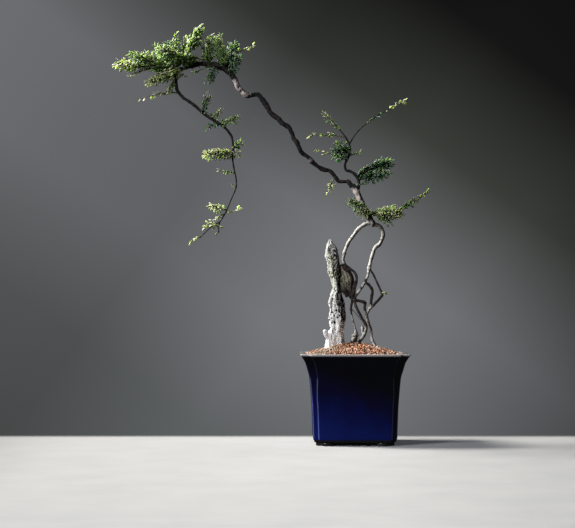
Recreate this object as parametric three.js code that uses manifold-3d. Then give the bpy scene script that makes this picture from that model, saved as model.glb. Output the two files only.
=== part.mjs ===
// A Berchemia lineata bonsai in a square glazed pot, in millimetres, +Z up.
//
// The tree leans to the left and its crown hangs back down as a cascade. While it is built, the
// origin lies under the middle of the pot, on the surface the pot stands on; -Y is the front.
// The last lines move the whole plant so that the origin lies under the middle of its box.
import * as THREE from 'three';
import { mergeVertices } from 'three/addons/utils/BufferGeometryUtils.js';
import Module from 'manifold-3d';

const wasm = await Module();
wasm.setup();

// Driving dimensions
const GAP = 0.3; // clearance between two pieces that touch

const POT_HEIGHT = 126;
const RIM_HALF = 75.3; // half the pot's width over the rim
const WALL = 6.5;
const FLOOR_THICKNESS = 8;
const FOOT_HEIGHT = 4.5;
const FOOT_LENGTH = 24; // how far each foot runs along a side
const FOOT_WIDTH = 8;
const DRAIN_RADIUS = 9;
const LIP_WIDTH = 8; // width of the rim's flat top
const LIP_DEPTH = 3;
const POT_ARRIS = 1.2; // taken off the outer edges beside each indented corner

const SCREEN_SIDE = 36;
const SCREEN_THICKNESS = 1.5;
const SCREEN_PITCH = 7.5; // from one hole of the mesh to the next
const SCREEN_HOLE = 5;
const WIRE_RADIUS = 0.8;
const WIRE_BEND = 1.2; // size of the chamfer at each of the clip's bends
const WIRE_SPREAD = 16; // how far the clip's feet reach under the pot's floor

const SOIL_EDGE = 124; // height of the soil where it meets the pot
const SOIL_TOP = 140; // height of the middle of the mound
const MOUND_CURVE = 1.6; // above 1, the mound falls off more steeply near the rim
const GRAIN_BUMP = 1.3; // roughness of the granules' surface

const THICK_LIMB = 3.5; // limbs with a larger radius get more sides
const TIP_LENGTH = 0.6; // length of a limb's pointed end against its radius there

const TWIG_RADIUS = 0.9;
const TWIG_SHARE = 0.85; // how much of a spray's length its twig runs along
const FIRST_LEAF = 0.2; // where along a spray the first and the last side leaf start
const LAST_LEAF = 0.8;
const TIP_LEAF = 0.7; // where along a spray its tip leaf starts
const LEAF_LEAN = 0.15; // how far side leaves lean forward, against the spray's length
const LEAF_THICKNESS = 1.8;
const LEAF_SLENDERNESS = 0.6; // a leaf's width against its length
const LEAF_PATCH = 110; // area of a spray that gets one leaf, in square millimetres
const FEWEST_LEAVES = 5;
const MOST_LEAVES = 10;
const GOLDEN_ANGLE = Math.PI * (3 - Math.sqrt(5));

// The pot's outside, from the feet to the rim: height and half-width
const POT_PROFILE = [
  [0, 53.8],
  [FOOT_HEIGHT, 55.4],
  [9, 57.6],
  [30, 58.3],
  [56, 59.3],
  [90.5, 62.3],
  [102, 65.2],
  [114, 68.8],
  [123.5, 74.3],
  [POT_HEIGHT, RIM_HALF],
];

// Width of the indented corner at the foot and at the rim
const NOTCH_FOOT = 7;
const NOTCH_RIM = 13;
const NOTCH_FLARE = 60; // height where it starts to widen

// The deadwood column, from below the soil to the tip: height, left edge, right edge
const COLUMN_EDGES = [
  [112, -38, -15],
  [132, -40, -12.5],
  [142, -38.5, -13.5],
  [152, -37, -13.5],
  [160, -33.5, -12.5],
  [174, -36, -10.5],
  [188, -34, -11],
  [196, -36, -12.5],
  [204, -34, -15],
  [217, -29.5, -17.5],
  [228, -32, -18],
  [238, -36, -18.5],
  [252, -37.5, -19],
  [261, -41, -20],
  [271, -39.5, -22],
  [278, -38, -27],
  [284, -35.5, -31],
];
const COLUMN_DEPTH = 24;
const COLUMN_Y = 5;
const COLUMN_FOOT = 2; // its straight part below the lowest edge
const COLUMN_TIP = 3; // its blunt point above the highest edge
const COLUMN_SLIM = 8; // the column thins from front to back where its half-width is below this
const COLUMN_ROUGHNESS = 1.6;
// The folds along its grain: how many there are, how fast they turn with height, and their depth
const COLUMN_FOLDS = [
  [5, 1 / 21, 0.13],
  [8, -1 / 9, 0.07],
];

// The wood: each limb is a list of points on its middle line with its radius there, [x, y, z, r]
const TRUNK = [
  [28, 1, 304, 3.4],
  [25, 0, 309, 5.0],
  [17, -1, 323, 5.2],
  [9, -2, 340, 4.9],
  [2, -1, 354, 5.2],
  [-9, 1, 366, 4.4],
  [-23, 3, 369, 4.4],
  [-34, 3, 381, 4.3],
  [-49, 1, 388, 4.3],
  [-60, -1, 395, 4.6],
  [-74, -3, 407, 4.0],
  [-78, -4, 418, 4.1],
  [-86, -3, 430, 4.0],
  [-92, -1, 442, 4.2],
  [-105, 1, 453, 4.0],
  [-116, 3, 464, 4.2],
  [-122, 4, 476, 3.9],
  [-135, 3, 488, 4.2],
  [-150, 1, 487, 4.6],
  [-161, 0, 496, 4.3],
  [-167, 0, 510, 4.6],
  [-177, 1, 522, 5.2],
];
const CROWN_BRANCH = [
  [-172, 1, 517, 5.0],
  [-184, 2, 526, 5.4],
  [-199, 2, 530, 5.2],
  [-214, 1, 531, 4.6],
  [-229, 0, 527, 3.8],
  [-243, -1, 523, 3.1],
  [-258, -2, 520, 2.4],
  [-276, -4, 522, 1.9],
  [-295, -6, 526, 1.3],
];
const CASCADE_BRANCH = [
  [-243, -1, 524, 2.4],
  [-250, -3, 516, 2.7],
  [-249, -5, 505, 2.5],
  [-247, -6, 493, 2.4],
  [-239, -7, 483, 2.3],
  [-226, -8, 474, 2.3],
  [-210, -9, 460, 2.1],
  [-193, -9, 449, 2.2],
  [-180, -8, 440, 1.9],
  [-171, -7, 428, 1.7],
  [-169, -6, 414, 1.5],
  [-170, -5, 400, 1.4],
  [-168, -4, 385, 1.2],
  [-165, -4, 370, 1.1],
  [-165, -4, 357, 1.1],
  [-172, -5, 340, 1.0],
  [-180, -6, 321, 1.0],
  [-188, -7, 307, 0.9],
  [-189, -7, 293, 0.7],
];
const CASCADE_TIP_TWIG = [
  [-187, -7, 309, 0.9],
  [-197, -8, 304, 0.9],
  [-206, -9, 296, 0.8],
  [-216, -10, 286, 0.7],
];
const MIDDLE_BRANCH = [
  [4, 0, 352, 2.6],
  [7, 4, 362, 2.4],
  [5, 6, 372, 2.3],
  [-3, 7, 380, 2.1],
  [-11, 7, 383, 2.0],
  [-12, 6, 391, 1.8],
  [-8, 5, 400, 1.7],
  [-5, 4, 413, 1.5],
  [-9, 4, 424, 1.3],
  [-18, 5, 437, 1.0],
  [-30, 6, 451, 0.8],
];
const RIGHT_MIDDLE_TWIG = [
  [5, 6, 368, 1.7],
  [16, 4, 372, 1.5],
  [30, 2, 378, 1.3],
  [44, 0, 385, 1.0],
];
const LONG_SHOOT = [
  [-6, 4, 419, 1.1],
  [2, 3, 432, 1.0],
  [11, 1, 442, 1.0],
  [22, 0, 451, 0.9],
  [33, -1, 459, 0.9],
  [50, -2, 467, 0.8],
  [62, -3, 475, 0.7],
];
const RIGHT_BRANCH = [
  [15, -1, 327, 2.4],
  [24, -3, 321, 2.2],
  [38, -5, 318, 2.0],
  [52, -6, 320, 1.7],
  [66, -6, 327, 1.4],
  [82, -5, 337, 1.1],
  [97, -4, 346, 0.8],
];
const LEFT_STEM = [
  [27, 0, 309, 2.8],
  [16, -1, 306, 2.7],
  [7, -2, 300, 2.6],
  [0, -2, 291, 2.6],
  [-7, -2, 281, 2.5],
  [-12, -2, 270, 2.5],
  [-15, -1, 258, 2.6],
  [-12, 0, 249, 2.7],
  [-4, 1, 243, 2.6],
  [2, 1, 237, 2.6],
  [4, 0, 229, 2.7],
  [1, -1, 219, 3.0],
  [-1, -1, 207, 3.2],
];
const RIGHT_STEM = [
  [29, 1, 306, 2.9],
  [35, 2, 304, 2.8],
  [40, 3, 298, 2.7],
  [41, 3, 289, 2.6],
  [36, 2, 278, 2.6],
  [30, 1, 273, 2.6],
  [26, 0, 263, 2.5],
  [23, 0, 253, 2.6],
  [21, 0, 243, 2.8],
];
const LEFT_ROOT = [
  [21, 0, 244, 2.0],
  [19, -2, 233, 1.9],
  [13, -4, 221, 1.8],
  [7, -5, 212, 1.8],
  [1, -5, 202, 2.0],
  [3, -5, 191, 2.1],
  [9, -5, 178, 2.0],
  [16, -4, 166, 2.1],
  [17, -3, 158, 2.2],
  [12, -2, 148, 2.6],
  [4, -1, 138, 3.0],
  [-3, 0, 124, 2.4],
];
const RIGHT_ROOT = [
  [21, 0, 244, 1.8],
  [27, 2, 236, 1.5],
  [32, 3, 226, 1.4],
  [37, 4, 215, 1.6],
  [40, 4, 208, 2.2],
  [36, 4, 202, 2.0],
  [28, 4, 193, 2.0],
  [22, 4, 188, 2.4],
  [18, 4, 180, 2.2],
  [20, 4, 170, 2.1],
  [24, 3, 158, 1.9],
  [25, 2, 147, 2.0],
  [29, 2, 137, 2.4],
  [35, 2, 124, 2.0],
];
const MIDDLE_ROOT = [
  [15, -4, 225, 1.6],
  [21, -1, 221, 2.0],
  [26, 2, 213, 2.1],
  [25, 3, 204, 2.0],
  [24, 4, 196, 2.0],
  [24, 4, 188, 2.0],
];
const STUB_ROOT = [
  [1, -5, 200, 2.2],
  [9, -3, 198, 2.3],
  [15, -1, 196, 2.3],
  [15, 1, 188, 1.9],
  [17, 3, 180, 1.6],
];
const REAR_ROOT = [
  [-1, -1, 209, 2.6],
  [-3, 1, 196, 1.8],
  [-4, 3, 186, 1.5],
  [-2, 4, 175, 1.3],
  [1, 5, 164, 1.3],
  [3, 5, 155, 2.4],
  [2, 5, 149, 3.8],
  [-1, 4, 140, 4.4],
  [-5, 4, 126, 2.6],
];
const ROOT_CROWN = [
  [-19, 5, 247, 5.0],
  [-13, 5, 240, 7.5],
  [-9, 4, 231, 9.0],
  [-7, 3, 221, 7.5],
  [-4, 2, 211, 5.0],
  [-4, 1, 203, 3.0],
];
const COLUMN_KNOB = [
  [-33, 1, 144, 3.4],
  [-38, -2, 150, 3.2],
  [-41, -3, 157, 2.9],
];

// The leaf sprays: name, where it leaves the wood, its tip, its width across, its thickness, its tone
const LEAF_SPRAYS = [
  ['leaves_crown_tip', [-290, -5, 524], [-336, -8, 530], 34, 20, 'bright'],
  ['leaves_crown_left_front', [-262, -3, 520], [-316, -22, 546], 34, 25, 'leaf'],
  ['leaves_crown_left_back', [-254, -1, 521], [-308, 22, 552], 36, 25, 'leaf'],
  ['leaves_crown_front', [-226, -1, 528], [-274, -34, 548], 38, 27, 'leaf'],
  ['leaves_crown_back', [-220, 3, 530], [-272, 36, 552], 40, 27, 'shade'],
  ['leaves_crown_top', [-237, -3, 525], [-213, -8, 585], 38, 22, 'leaf'],
  ['leaves_crown_middle', [-247, 1, 522], [-263, 5, 564], 40, 25, 'shade'],
  ['leaves_crown_peak', [-203, 3, 532], [-199, 7, 572], 30, 22, 'leaf'],
  ['leaves_crown_right_front', [-182, -2, 526], [-192, -18, 568], 28, 20, 'leaf'],
  ['leaves_crown_right_back', [-178, 4, 523], [-166, 22, 566], 30, 20, 'shade'],
  ['leaves_crown_right_low', [-172, -1, 516], [-160, -14, 543], 24, 17, 'shade'],
  ['leaves_crown_shoot', [-172, 13, 544], [-138, 6, 558], 12, 6, 'bright'],
  ['leaves_crown_under', [-192, -1, 527], [-205, -20, 500], 22, 15, 'shade'],
  ['leaves_crown_low', [-240, -2, 520], [-292, -12, 502], 46, 18, 'bright'],
  ['leaves_crown_hanging', [-249, -4, 508], [-262, -12, 486], 24, 14, 'bright'],
  ['leaves_crown_left_shoot', [-245, -6, 490], [-301, -16, 479], 14, 8, 'bright'],
  ['leaves_cascade_start', [-212, -9, 460], [-201, -4, 487], 18, 13, 'shade'],
  ['leaves_cascade_elbow', [-186, -8, 444], [-157, -14, 457], 24, 14, 'leaf'],
  ['leaves_cascade_inner', [-190, -9, 447], [-208, -20, 437], 18, 12, 'shade'],
  ['leaves_cascade_pad', [-169, -5, 404], [-213, -14, 403], 36, 21, 'bright'],
  ['leaves_cascade_outer', [-169, -5, 412], [-153, 2, 424], 20, 13, 'leaf'],
  ['leaves_cascade_thin', [-167, -4, 377], [-193, -10, 381], 13, 8, 'leaf'],
  ['leaves_cascade_low', [-178, -6, 325], [-206, -14, 332], 22, 15, 'bright'],
  ['leaves_cascade_low_outer', [-179, -6, 322], [-156, 0, 328], 12, 7, 'bright'],
  ['leaves_cascade_end', [-189, -7, 302], [-208, -2, 309], 18, 13, 'bright'],
  ['leaves_cascade_tip', [-212, -10, 290], [-232, -13, 278], 11, 8, 'bright'],
  ['leaves_middle', [-6, 4, 408], [-34, -6, 409], 34, 32, 'shade'],
  ['leaves_middle_top', [-16, 5, 434], [-45, 8, 464], 18, 13, 'leaf'],
  ['leaves_middle_left', [-12, 5, 428], [-64, -2, 431], 14, 8, 'leaf'],
  ['leaves_right_middle_low', [12, 4, 371], [52, -16, 377], 32, 19, 'shade'],
  ['leaves_right_middle_high', [5, 7, 374], [58, 15, 396], 34, 21, 'shade'],
  ['leaves_shoot_tip', [50, -2, 467], [75, -4, 481], 11, 6, 'bright'],
  ['leaves_hanging', [-27, 1, 371], [-37, -9, 346], 16, 12, 'bright'],
  ['leaves_right_inner', [18, -2, 326], [-13, -16, 340], 26, 18, 'leaf'],
  ['leaves_right_joint', [22, -4, 322], [4, -22, 321], 26, 18, 'bright'],
  ['leaves_right_low', [36, -5, 318], [52, -24, 307], 28, 18, 'leaf'],
  ['leaves_right_front', [26, -3, 320], [70, -26, 320], 34, 22, 'bright'],
  ['leaves_right_back', [30, -4, 319], [68, 18, 325], 36, 22, 'leaf'],
  ['leaves_right_outer', [64, -6, 326], [93, -8, 344], 24, 13, 'leaf'],
  ['leaves_right_tip', [92, -4, 343], [116, -6, 357], 13, 8, 'bright'],
];

// Materials
const finish = (color, roughness) =>
  new THREE.MeshStandardMaterial({ color, roughness, metalness: 0 });

const GLAZE = finish(0x101a52, 0.12);
const PLASTIC = finish(0x2a2c2e, 0.6);
const WIRE = new THREE.MeshStandardMaterial({ color: 0x8d8578, roughness: 0.45, metalness: 0.9 });
const GRANULES = finish(0xa3694a, 0.9);
const DEADWOOD = finish(0xb9b7ad, 0.85);
const BARK = finish(0x6f655b, 0.8);
const LEAF_TONES = {
  bright: finish(0xa3b26a, 0.6),
  leaf: finish(0x6f8a45, 0.6),
  shade: finish(0x3f5a37, 0.6),
};

// Solids and meshes

// A closed body, made from a closed geometry.
function solidOf(geometry) {
  const bare = geometry.clone();
  bare.deleteAttribute('normal');
  bare.deleteAttribute('uv');
  const merged = mergeVertices(bare, 1e-4);
  return new wasm.Manifold(new wasm.Mesh({
    numProp: 3,
    vertProperties: new Float32Array(merged.attributes.position.array),
    triVerts: new Uint32Array(merged.index.array),
  }));
}

function geometryOf(solid) {
  const mesh = solid.getMesh();
  const geometry = new THREE.BufferGeometry();
  geometry.setAttribute('position', new THREE.BufferAttribute(mesh.vertProperties, 3));
  geometry.setIndex(new THREE.BufferAttribute(mesh.triVerts, 1));
  geometry.computeVertexNormals();
  return geometry;
}

// A closed skin over rings of points. Each ring has the same number of points, and each end is
// closed by a fan to a point of its own.
function skin(rings, startPoint, endPoint) {
  const count = rings[0].length;
  const points = [startPoint, ...rings.flat(), endPoint];
  const last = points.length - 1;
  const at = (ring, i) => 1 + ring * count + (i % count);
  const faces = [];
  for (let i = 0; i < count; i++) {
    faces.push(0, at(0, i + 1), at(0, i));
    faces.push(last, at(rings.length - 1, i), at(rings.length - 1, i + 1));
  }
  for (let ring = 0; ring < rings.length - 1; ring++) {
    for (let i = 0; i < count; i++) {
      const a = at(ring, i);
      const b = at(ring, i + 1);
      const c = at(ring + 1, i);
      const d = at(ring + 1, i + 1);
      faces.push(a, b, d, a, d, c);
    }
  }
  const geometry = new THREE.BufferGeometry().setFromPoints(points);
  geometry.setIndex(faces);
  return solidOf(geometry);
}

function middleOf(ring) {
  const sum = ring.reduce((total, point) => total.add(point), new THREE.Vector3());
  return sum.divideScalar(ring.length);
}

// Thick limbs are rounder than thin ones
function sidesFor(route) {
  return Math.max(...route.map(([, , , radius]) => radius)) > THICK_LIMB ? 8 : 6;
}

// A tapering limb of wood along a smooth curve through its points, larger by `grow` all round.
function limb(route, grow = 0, sides = sidesFor(route), stepsPerSpan = 2) {
  const curve = new THREE.CatmullRomCurve3(
    route.map(([x, y, z]) => new THREE.Vector3(x, y, z)), false, 'centripetal');
  const spans = route.length - 1;
  const steps = spans * stepsPerSpan;
  const radiusAt = (t) => {
    const span = Math.min(Math.floor(t * spans), spans - 1);
    return grow + THREE.MathUtils.lerp(route[span][3], route[span + 1][3], t * spans - span);
  };

  let tangent = curve.getTangent(0);
  const side = new THREE.Vector3(0, 1, 0).projectOnPlane(tangent).normalize();
  const rings = [];
  for (let step = 0; step <= steps; step++) {
    const t = step / steps;
    const next = curve.getTangent(t);
    side.applyQuaternion(new THREE.Quaternion().setFromUnitVectors(tangent, next));
    tangent = next;
    const up = new THREE.Vector3().crossVectors(tangent, side);
    const centre = curve.getPoint(t);
    const radius = radiusAt(t);
    const ring = [];
    for (let i = 0; i < sides; i++) {
      const angle = (2 * Math.PI * i) / sides;
      ring.push(centre.clone()
        .addScaledVector(side, radius * Math.cos(angle))
        .addScaledVector(up, radius * Math.sin(angle)));
    }
    rings.push(ring);
  }
  const tipPast = (t) => TIP_LENGTH * (radiusAt(t) - grow) + grow;
  const start = curve.getPoint(0).addScaledVector(curve.getTangent(0), -tipPast(0));
  const end = curve.getPoint(1).addScaledVector(tangent, tipPast(1));
  return skin(rings, start, end);
}

// One leaf from its foot to its tip, pointed at both ends and thickest at its middle line.
function leaf(foot, tip, grow) {
  const blade = tip.clone().sub(foot);
  const length = blade.length();
  const along = blade.normalize();
  const across = new THREE.Vector3(0, 0, 1).cross(along).normalize();
  const upper = new THREE.Vector3().crossVectors(along, across);
  const halfWidth = LEAF_SLENDERNESS * length / 2 + grow;
  const halfThickness = LEAF_THICKNESS / 2 + grow;
  const widest = foot.clone().lerp(tip, 0.45);
  const ring = [
    widest.clone().addScaledVector(across, halfWidth),
    widest.clone().addScaledVector(upper, halfThickness),
    widest.clone().addScaledVector(across, -halfWidth),
    widest.clone().addScaledVector(upper, -halfThickness),
  ];
  const start = foot.clone().addScaledVector(along, -2 * grow);
  const end = tip.clone().addScaledVector(along, 2 * grow);
  return skin([ring], start, end);
}

// A spray: a twig with leaves that turn round it by the golden angle, flattened to the spray's
// thickness, and one leaf at its tip.
function leafSpray(from, to, width, thickness, grow = 0) {
  const start = new THREE.Vector3(...from);
  const end = new THREE.Vector3(...to);
  const length = start.distanceTo(end);
  const axis = end.clone().sub(start).normalize();
  const across = new THREE.Vector3(0, 1, 0).projectOnPlane(axis).normalize();
  const up = new THREE.Vector3().crossVectors(axis, across);
  const twigEnd = start.clone().lerp(end, TWIG_SHARE);
  const twig = [[...from, TWIG_RADIUS], [...twigEnd, TWIG_RADIUS * 0.7]];
  const patches = Math.round((length * width) / LEAF_PATCH);
  const count = THREE.MathUtils.clamp(patches, FEWEST_LEAVES, MOST_LEAVES);
  const pieces = [limb(twig, grow, 5, 1), leaf(start.clone().lerp(end, TIP_LEAF), end, grow)];
  for (let i = 0; i < count; i++) {
    const along = THREE.MathUtils.lerp(FIRST_LEAF, LAST_LEAF, i / (count - 1));
    const foot = start.clone().lerp(end, along);
    const turn = i * GOLDEN_ANGLE;
    const fullness = Math.sin(Math.PI * along ** 0.8) ** 0.7;
    const tip = foot.clone()
      .addScaledVector(axis, length * LEAF_LEAN)
      .addScaledVector(across, (width / 2) * fullness * Math.cos(turn))
      .addScaledVector(up, (thickness / 2) * fullness * Math.sin(turn));
    pieces.push(leaf(foot, tip, grow));
  }
  return wasm.Manifold.union(pieces);
}

// The parts of the plant

// A square with indented corners, as a ring of points at height z. Its long sides have `steps`
// spans each, and each indent's two outer edges are taken off.
function indentedSquare(half, notch, z, steps = 1) {
  const quarter = [];
  const inner = half - notch;
  const run = inner - POT_ARRIS;
  for (let step = 0; step <= steps; step++) {
    quarter.push([half, THREE.MathUtils.lerp(-run, run, step / steps)]);
  }
  quarter.push([half - POT_ARRIS, inner], [inner, inner], [inner, half - POT_ARRIS]);
  const ring = [];
  for (let turn = 0; turn < 4; turn++) {
    const spin = (turn * Math.PI) / 2;
    for (const [x, y] of quarter) {
      ring.push(new THREE.Vector3(x, y, z).applyAxisAngle(new THREE.Vector3(0, 0, 1), spin));
    }
  }
  return ring;
}

// Width of the corner's indent at height z
function notchAt(z) {
  const flare = THREE.MathUtils.smoothstep(z, NOTCH_FLARE, POT_HEIGHT);
  return THREE.MathUtils.lerp(NOTCH_FOOT, NOTCH_RIM, flare);
}

// The pot's half-width at height z, read from its profile
function potHalfAt(z) {
  const above = Math.max(1, POT_PROFILE.findIndex(([height]) => height >= z));
  const [z0, half0] = POT_PROFILE[above - 1];
  const [z1, half1] = POT_PROFILE[above];
  return THREE.MathUtils.mapLinear(z, z0, z1, half0, half1);
}

const floorTop = FOOT_HEIGHT + FLOOR_THICKNESS;

// Heights of the rings of the pot's inner wall, and the half-width of the inside at height z
const INNER_HEIGHTS = [floorTop, 56, 90.5, 102, 114];
function innerHalfAt(z) {
  return Math.min(potHalfAt(z) - WALL, RIM_HALF - LIP_WIDTH);
}

function loft(rings) {
  return skin(rings, middleOf(rings[0]), middleOf(rings.at(-1)));
}

function box(width, depth, height, x, y, z) {
  return solidOf(new THREE.BoxGeometry(width, depth, height).translate(x, y, z));
}

function cylinder(radius, height, z) {
  const geometry = new THREE.CylinderGeometry(radius, radius, height, 32);
  return solidOf(geometry.rotateX(Math.PI / 2).translate(0, 0, z));
}

function makePot() {
  const outside = loft(POT_PROFILE.map(([z, half]) => indentedSquare(half, notchAt(z), z)));
  const innerRings = INNER_HEIGHTS.map((z) => indentedSquare(innerHalfAt(z), notchAt(z), z));
  const mouth = RIM_HALF - LIP_WIDTH;
  innerRings.push(indentedSquare(mouth, NOTCH_RIM, POT_HEIGHT - LIP_DEPTH));
  innerRings.push(indentedSquare(mouth, NOTCH_RIM, POT_HEIGHT + LIP_DEPTH));
  const inside = loft(innerRings);
  const footEdge = POT_PROFILE[0][1];
  const wide = 2 * RIM_HALF;
  const between = 2 * (footEdge - FOOT_LENGTH);
  const behind = 2 * (footEdge - FOOT_WIDTH);
  return outside
    .subtract(inside)
    .subtract(cylinder(DRAIN_RADIUS, 4 * FLOOR_THICKNESS, FOOT_HEIGHT))
    .subtract(box(wide, between, 2 * FOOT_HEIGHT, 0, 0, 0))
    .subtract(box(between, wide, 2 * FOOT_HEIGHT, 0, 0, 0))
    .subtract(box(behind, behind, 2 * FOOT_HEIGHT, 0, 0, 0));
}

// The drainage screen, a square of plastic mesh over the hole in the pot's floor
const screenBottom = floorTop + GAP;
const SCREEN_HOLES = 4; // in each row
function makeScreen() {
  const z = screenBottom + SCREEN_THICKNESS / 2;
  const first = (-(SCREEN_HOLES - 1) * SCREEN_PITCH) / 2;
  let screen = box(SCREEN_SIDE, SCREEN_SIDE, SCREEN_THICKNESS, 0, 0, z);
  for (let row = 0; row < SCREEN_HOLES; row++) {
    for (let column = 0; column < SCREEN_HOLES; column++) {
      const x = first + column * SCREEN_PITCH;
      const y = first + row * SCREEN_PITCH;
      screen = screen.subtract(box(SCREEN_HOLE, SCREEN_HOLE, 2 * SCREEN_THICKNESS, x, y, z));
    }
  }
  return screen;
}

// The wire clip: over the screen, down through two of its holes and the drain hole, and out under
// the pot's floor
const wireTop = screenBottom + SCREEN_THICKNESS + GAP + WIRE_RADIUS;
function makeWireClip() {
  const legX = SCREEN_PITCH / 2;
  const under = FOOT_HEIGHT - GAP - WIRE_RADIUS;
  const half = [
    [legX - WIRE_BEND, wireTop],
    [legX, wireTop - WIRE_BEND],
    [legX, under + WIRE_BEND],
    [legX + WIRE_BEND, under],
    [WIRE_SPREAD, under],
  ];
  const route = [
    ...half.toReversed().map(([x, z]) => [-x, SCREEN_PITCH / 2, z, WIRE_RADIUS]),
    ...half.map(([x, z]) => [x, SCREEN_PITCH / 2, z, WIRE_RADIUS]),
  ];
  return limb(route, 0, 8, 1);
}

// The soil fills the pot to just under its rim and is heaped in the middle. Its surface is rough
// with granules.
function makeSoil() {
  const STEPS = 4;
  const MOUND_RINGS = 6;
  const fit = (z) => innerHalfAt(z) - GAP;
  const rings = [floorTop + GAP, ...INNER_HEIGHTS.slice(1)].map((z) =>
    indentedSquare(fit(z), notchAt(z), z, STEPS));
  const edge = indentedSquare(RIM_HALF - LIP_WIDTH - GAP, NOTCH_RIM, SOIL_EDGE, STEPS);
  rings.push(edge);
  const grain = seededRandom(7);
  for (let ring = 1; ring < MOUND_RINGS; ring++) {
    const shrink = 1 - ring / MOUND_RINGS;
    const height = THREE.MathUtils.lerp(SOIL_TOP, SOIL_EDGE, shrink ** MOUND_CURVE);
    rings.push(edge.map(({ x, y }) => new THREE.Vector3(
      x * shrink, y * shrink, height + GRAIN_BUMP * (2 * grain() - 1))));
  }
  const bottom = new THREE.Vector3(0, 0, floorTop + GAP);
  const top = new THREE.Vector3(0, 0, SOIL_TOP);
  const recessSide = SCREEN_SIDE + 2 * GAP;
  const recessTop = wireTop + WIRE_RADIUS + GAP;
  return skin(rings, bottom, top)
    .subtract(box(recessSide, recessSide, 2 * (recessTop - floorTop), 0, 0, floorTop));
}

// A repeatable stream of numbers from 0 to 1
function seededRandom(seed) {
  let state = seed;
  return () => {
    state = (state * 16807) % 2147483647;
    return (state & 0xffff) / 0xffff;
  };
}

// The column's surface is folded along its grain: the folds turn slowly as they rise, and every
// point stands a little out or in.
function makeColumn(grow = 0) {
  const SIDES = 20;
  const crag = seededRandom(11);
  const rings = COLUMN_EDGES.map(([z, left, right]) => {
    const halfWidth = (right - left) / 2;
    const centre = (left + right) / 2;
    const halfDepth = (COLUMN_DEPTH / 2) * Math.min(1, halfWidth / COLUMN_SLIM);
    const ring = [];
    for (let i = 0; i < SIDES; i++) {
      const angle = (2 * Math.PI * i) / SIDES;
      const fold = COLUMN_FOLDS.reduce((total, [count, turn, depth]) =>
        total + depth * Math.sin(count * angle + turn * z), 0);
      const roughness = COLUMN_ROUGHNESS * (crag() - 0.5);
      const sideways = halfWidth * (1 + fold / 2) + roughness + grow;
      const inDepth = halfDepth * (1 + fold) + roughness + grow;
      ring.push(new THREE.Vector3(
        centre + sideways * Math.cos(angle), COLUMN_Y + inDepth * Math.sin(angle), z));
    }
    return ring;
  });
  const bottom = COLUMN_EDGES[0][0] - COLUMN_FOOT - grow;
  rings.unshift(rings[0].map((point) => point.clone().setZ(bottom)));
  const top = middleOf(rings.at(-1)).add(new THREE.Vector3(0, 0, COLUMN_TIP + grow));
  return skin(rings, middleOf(rings[0]), top).add(limb(COLUMN_KNOB, grow));
}

// Assembly

const bonsai = new THREE.Group();
const placed = [];

function meets(a, b) {
  return [0, 1, 2].every((axis) => a.min[axis] < b.max[axis] && b.min[axis] < a.max[axis]);
}

function addMesh(name, solid, material) {
  const mesh = new THREE.Mesh(geometryOf(solid), material);
  mesh.name = name;
  bonsai.add(mesh);
}

// Adds a piece cut back, with the clearance, from the pieces placed before it. `shape` makes the
// piece, larger all round by the number it is given.
function place(name, material, shape) {
  let solid = shape(0);
  for (const other of placed) {
    if (meets(solid.boundingBox(), other.boundingBox())) {
      solid = solid.subtract(other);
    }
  }
  const bodies = solid.simplify(0.02).decompose().sort((a, b) => b.volume() - a.volume());
  placed.push(shape(GAP));
  addMesh(name, bodies[0], material);
}

// Each grown piece of wood, from one or more limbs
const WOOD = {
  trunk: [TRUNK],
  crown_branch: [CROWN_BRANCH],
  cascade_branch: [CASCADE_BRANCH, CASCADE_TIP_TWIG],
  middle_branch: [MIDDLE_BRANCH],
  right_middle_twig: [RIGHT_MIDDLE_TWIG],
  long_shoot: [LONG_SHOOT],
  right_branch: [RIGHT_BRANCH],
  left_stem: [LEFT_STEM],
  right_stem: [RIGHT_STEM],
  left_root: [LEFT_ROOT, STUB_ROOT],
  right_root: [RIGHT_ROOT, MIDDLE_ROOT],
  rear_root: [REAR_ROOT],
  root_crown: [ROOT_CROWN],
};

addMesh('pot', makePot(), GLAZE);
addMesh('drainage_screen', makeScreen(), PLASTIC);
addMesh('screen_wire_clip', makeWireClip(), WIRE);
place('deadwood_column', DEADWOOD, (grow) => makeColumn(grow));
for (const [name, routes] of Object.entries(WOOD)) {
  place(name, BARK, (grow) => wasm.Manifold.union(routes.map((route) => limb(route, grow))));
}
place('soil', GRANULES, () => makeSoil());
for (const [name, from, to, width, thickness, tone] of LEAF_SPRAYS) {
  place(name, LEAF_TONES[tone], (grow) => leafSpray(from, to, width, thickness, grow));
}

// The origin goes under the middle of the whole plant's box
const bounds = new THREE.Box3().setFromObject(bonsai);
const middle = bounds.getCenter(new THREE.Vector3());
bonsai.position.set(-middle.x, -middle.y, -bounds.min.z);

export default bonsai;
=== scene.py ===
# %% [markdown]
# # A Berchemia lineata bonsai in a blue glazed pot
#
# The packed CAD model says where everything is: the pot, the soil, the bleached wood column, the
# limbs and every spray of leaves. This lesson gives each of them its looks. Most nodes are
# replaced by a finer piece in the same place: a glazed pot with rounded edges, loose granules,
# carved deadwood, limbs that flow into each other, and thousands of small leaves on fine twigs.

import math
import random

import bmesh
import bpy
import numpy as np
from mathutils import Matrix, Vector, kdtree, noise
from mathutils.bvhtree import BVHTree


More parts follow.
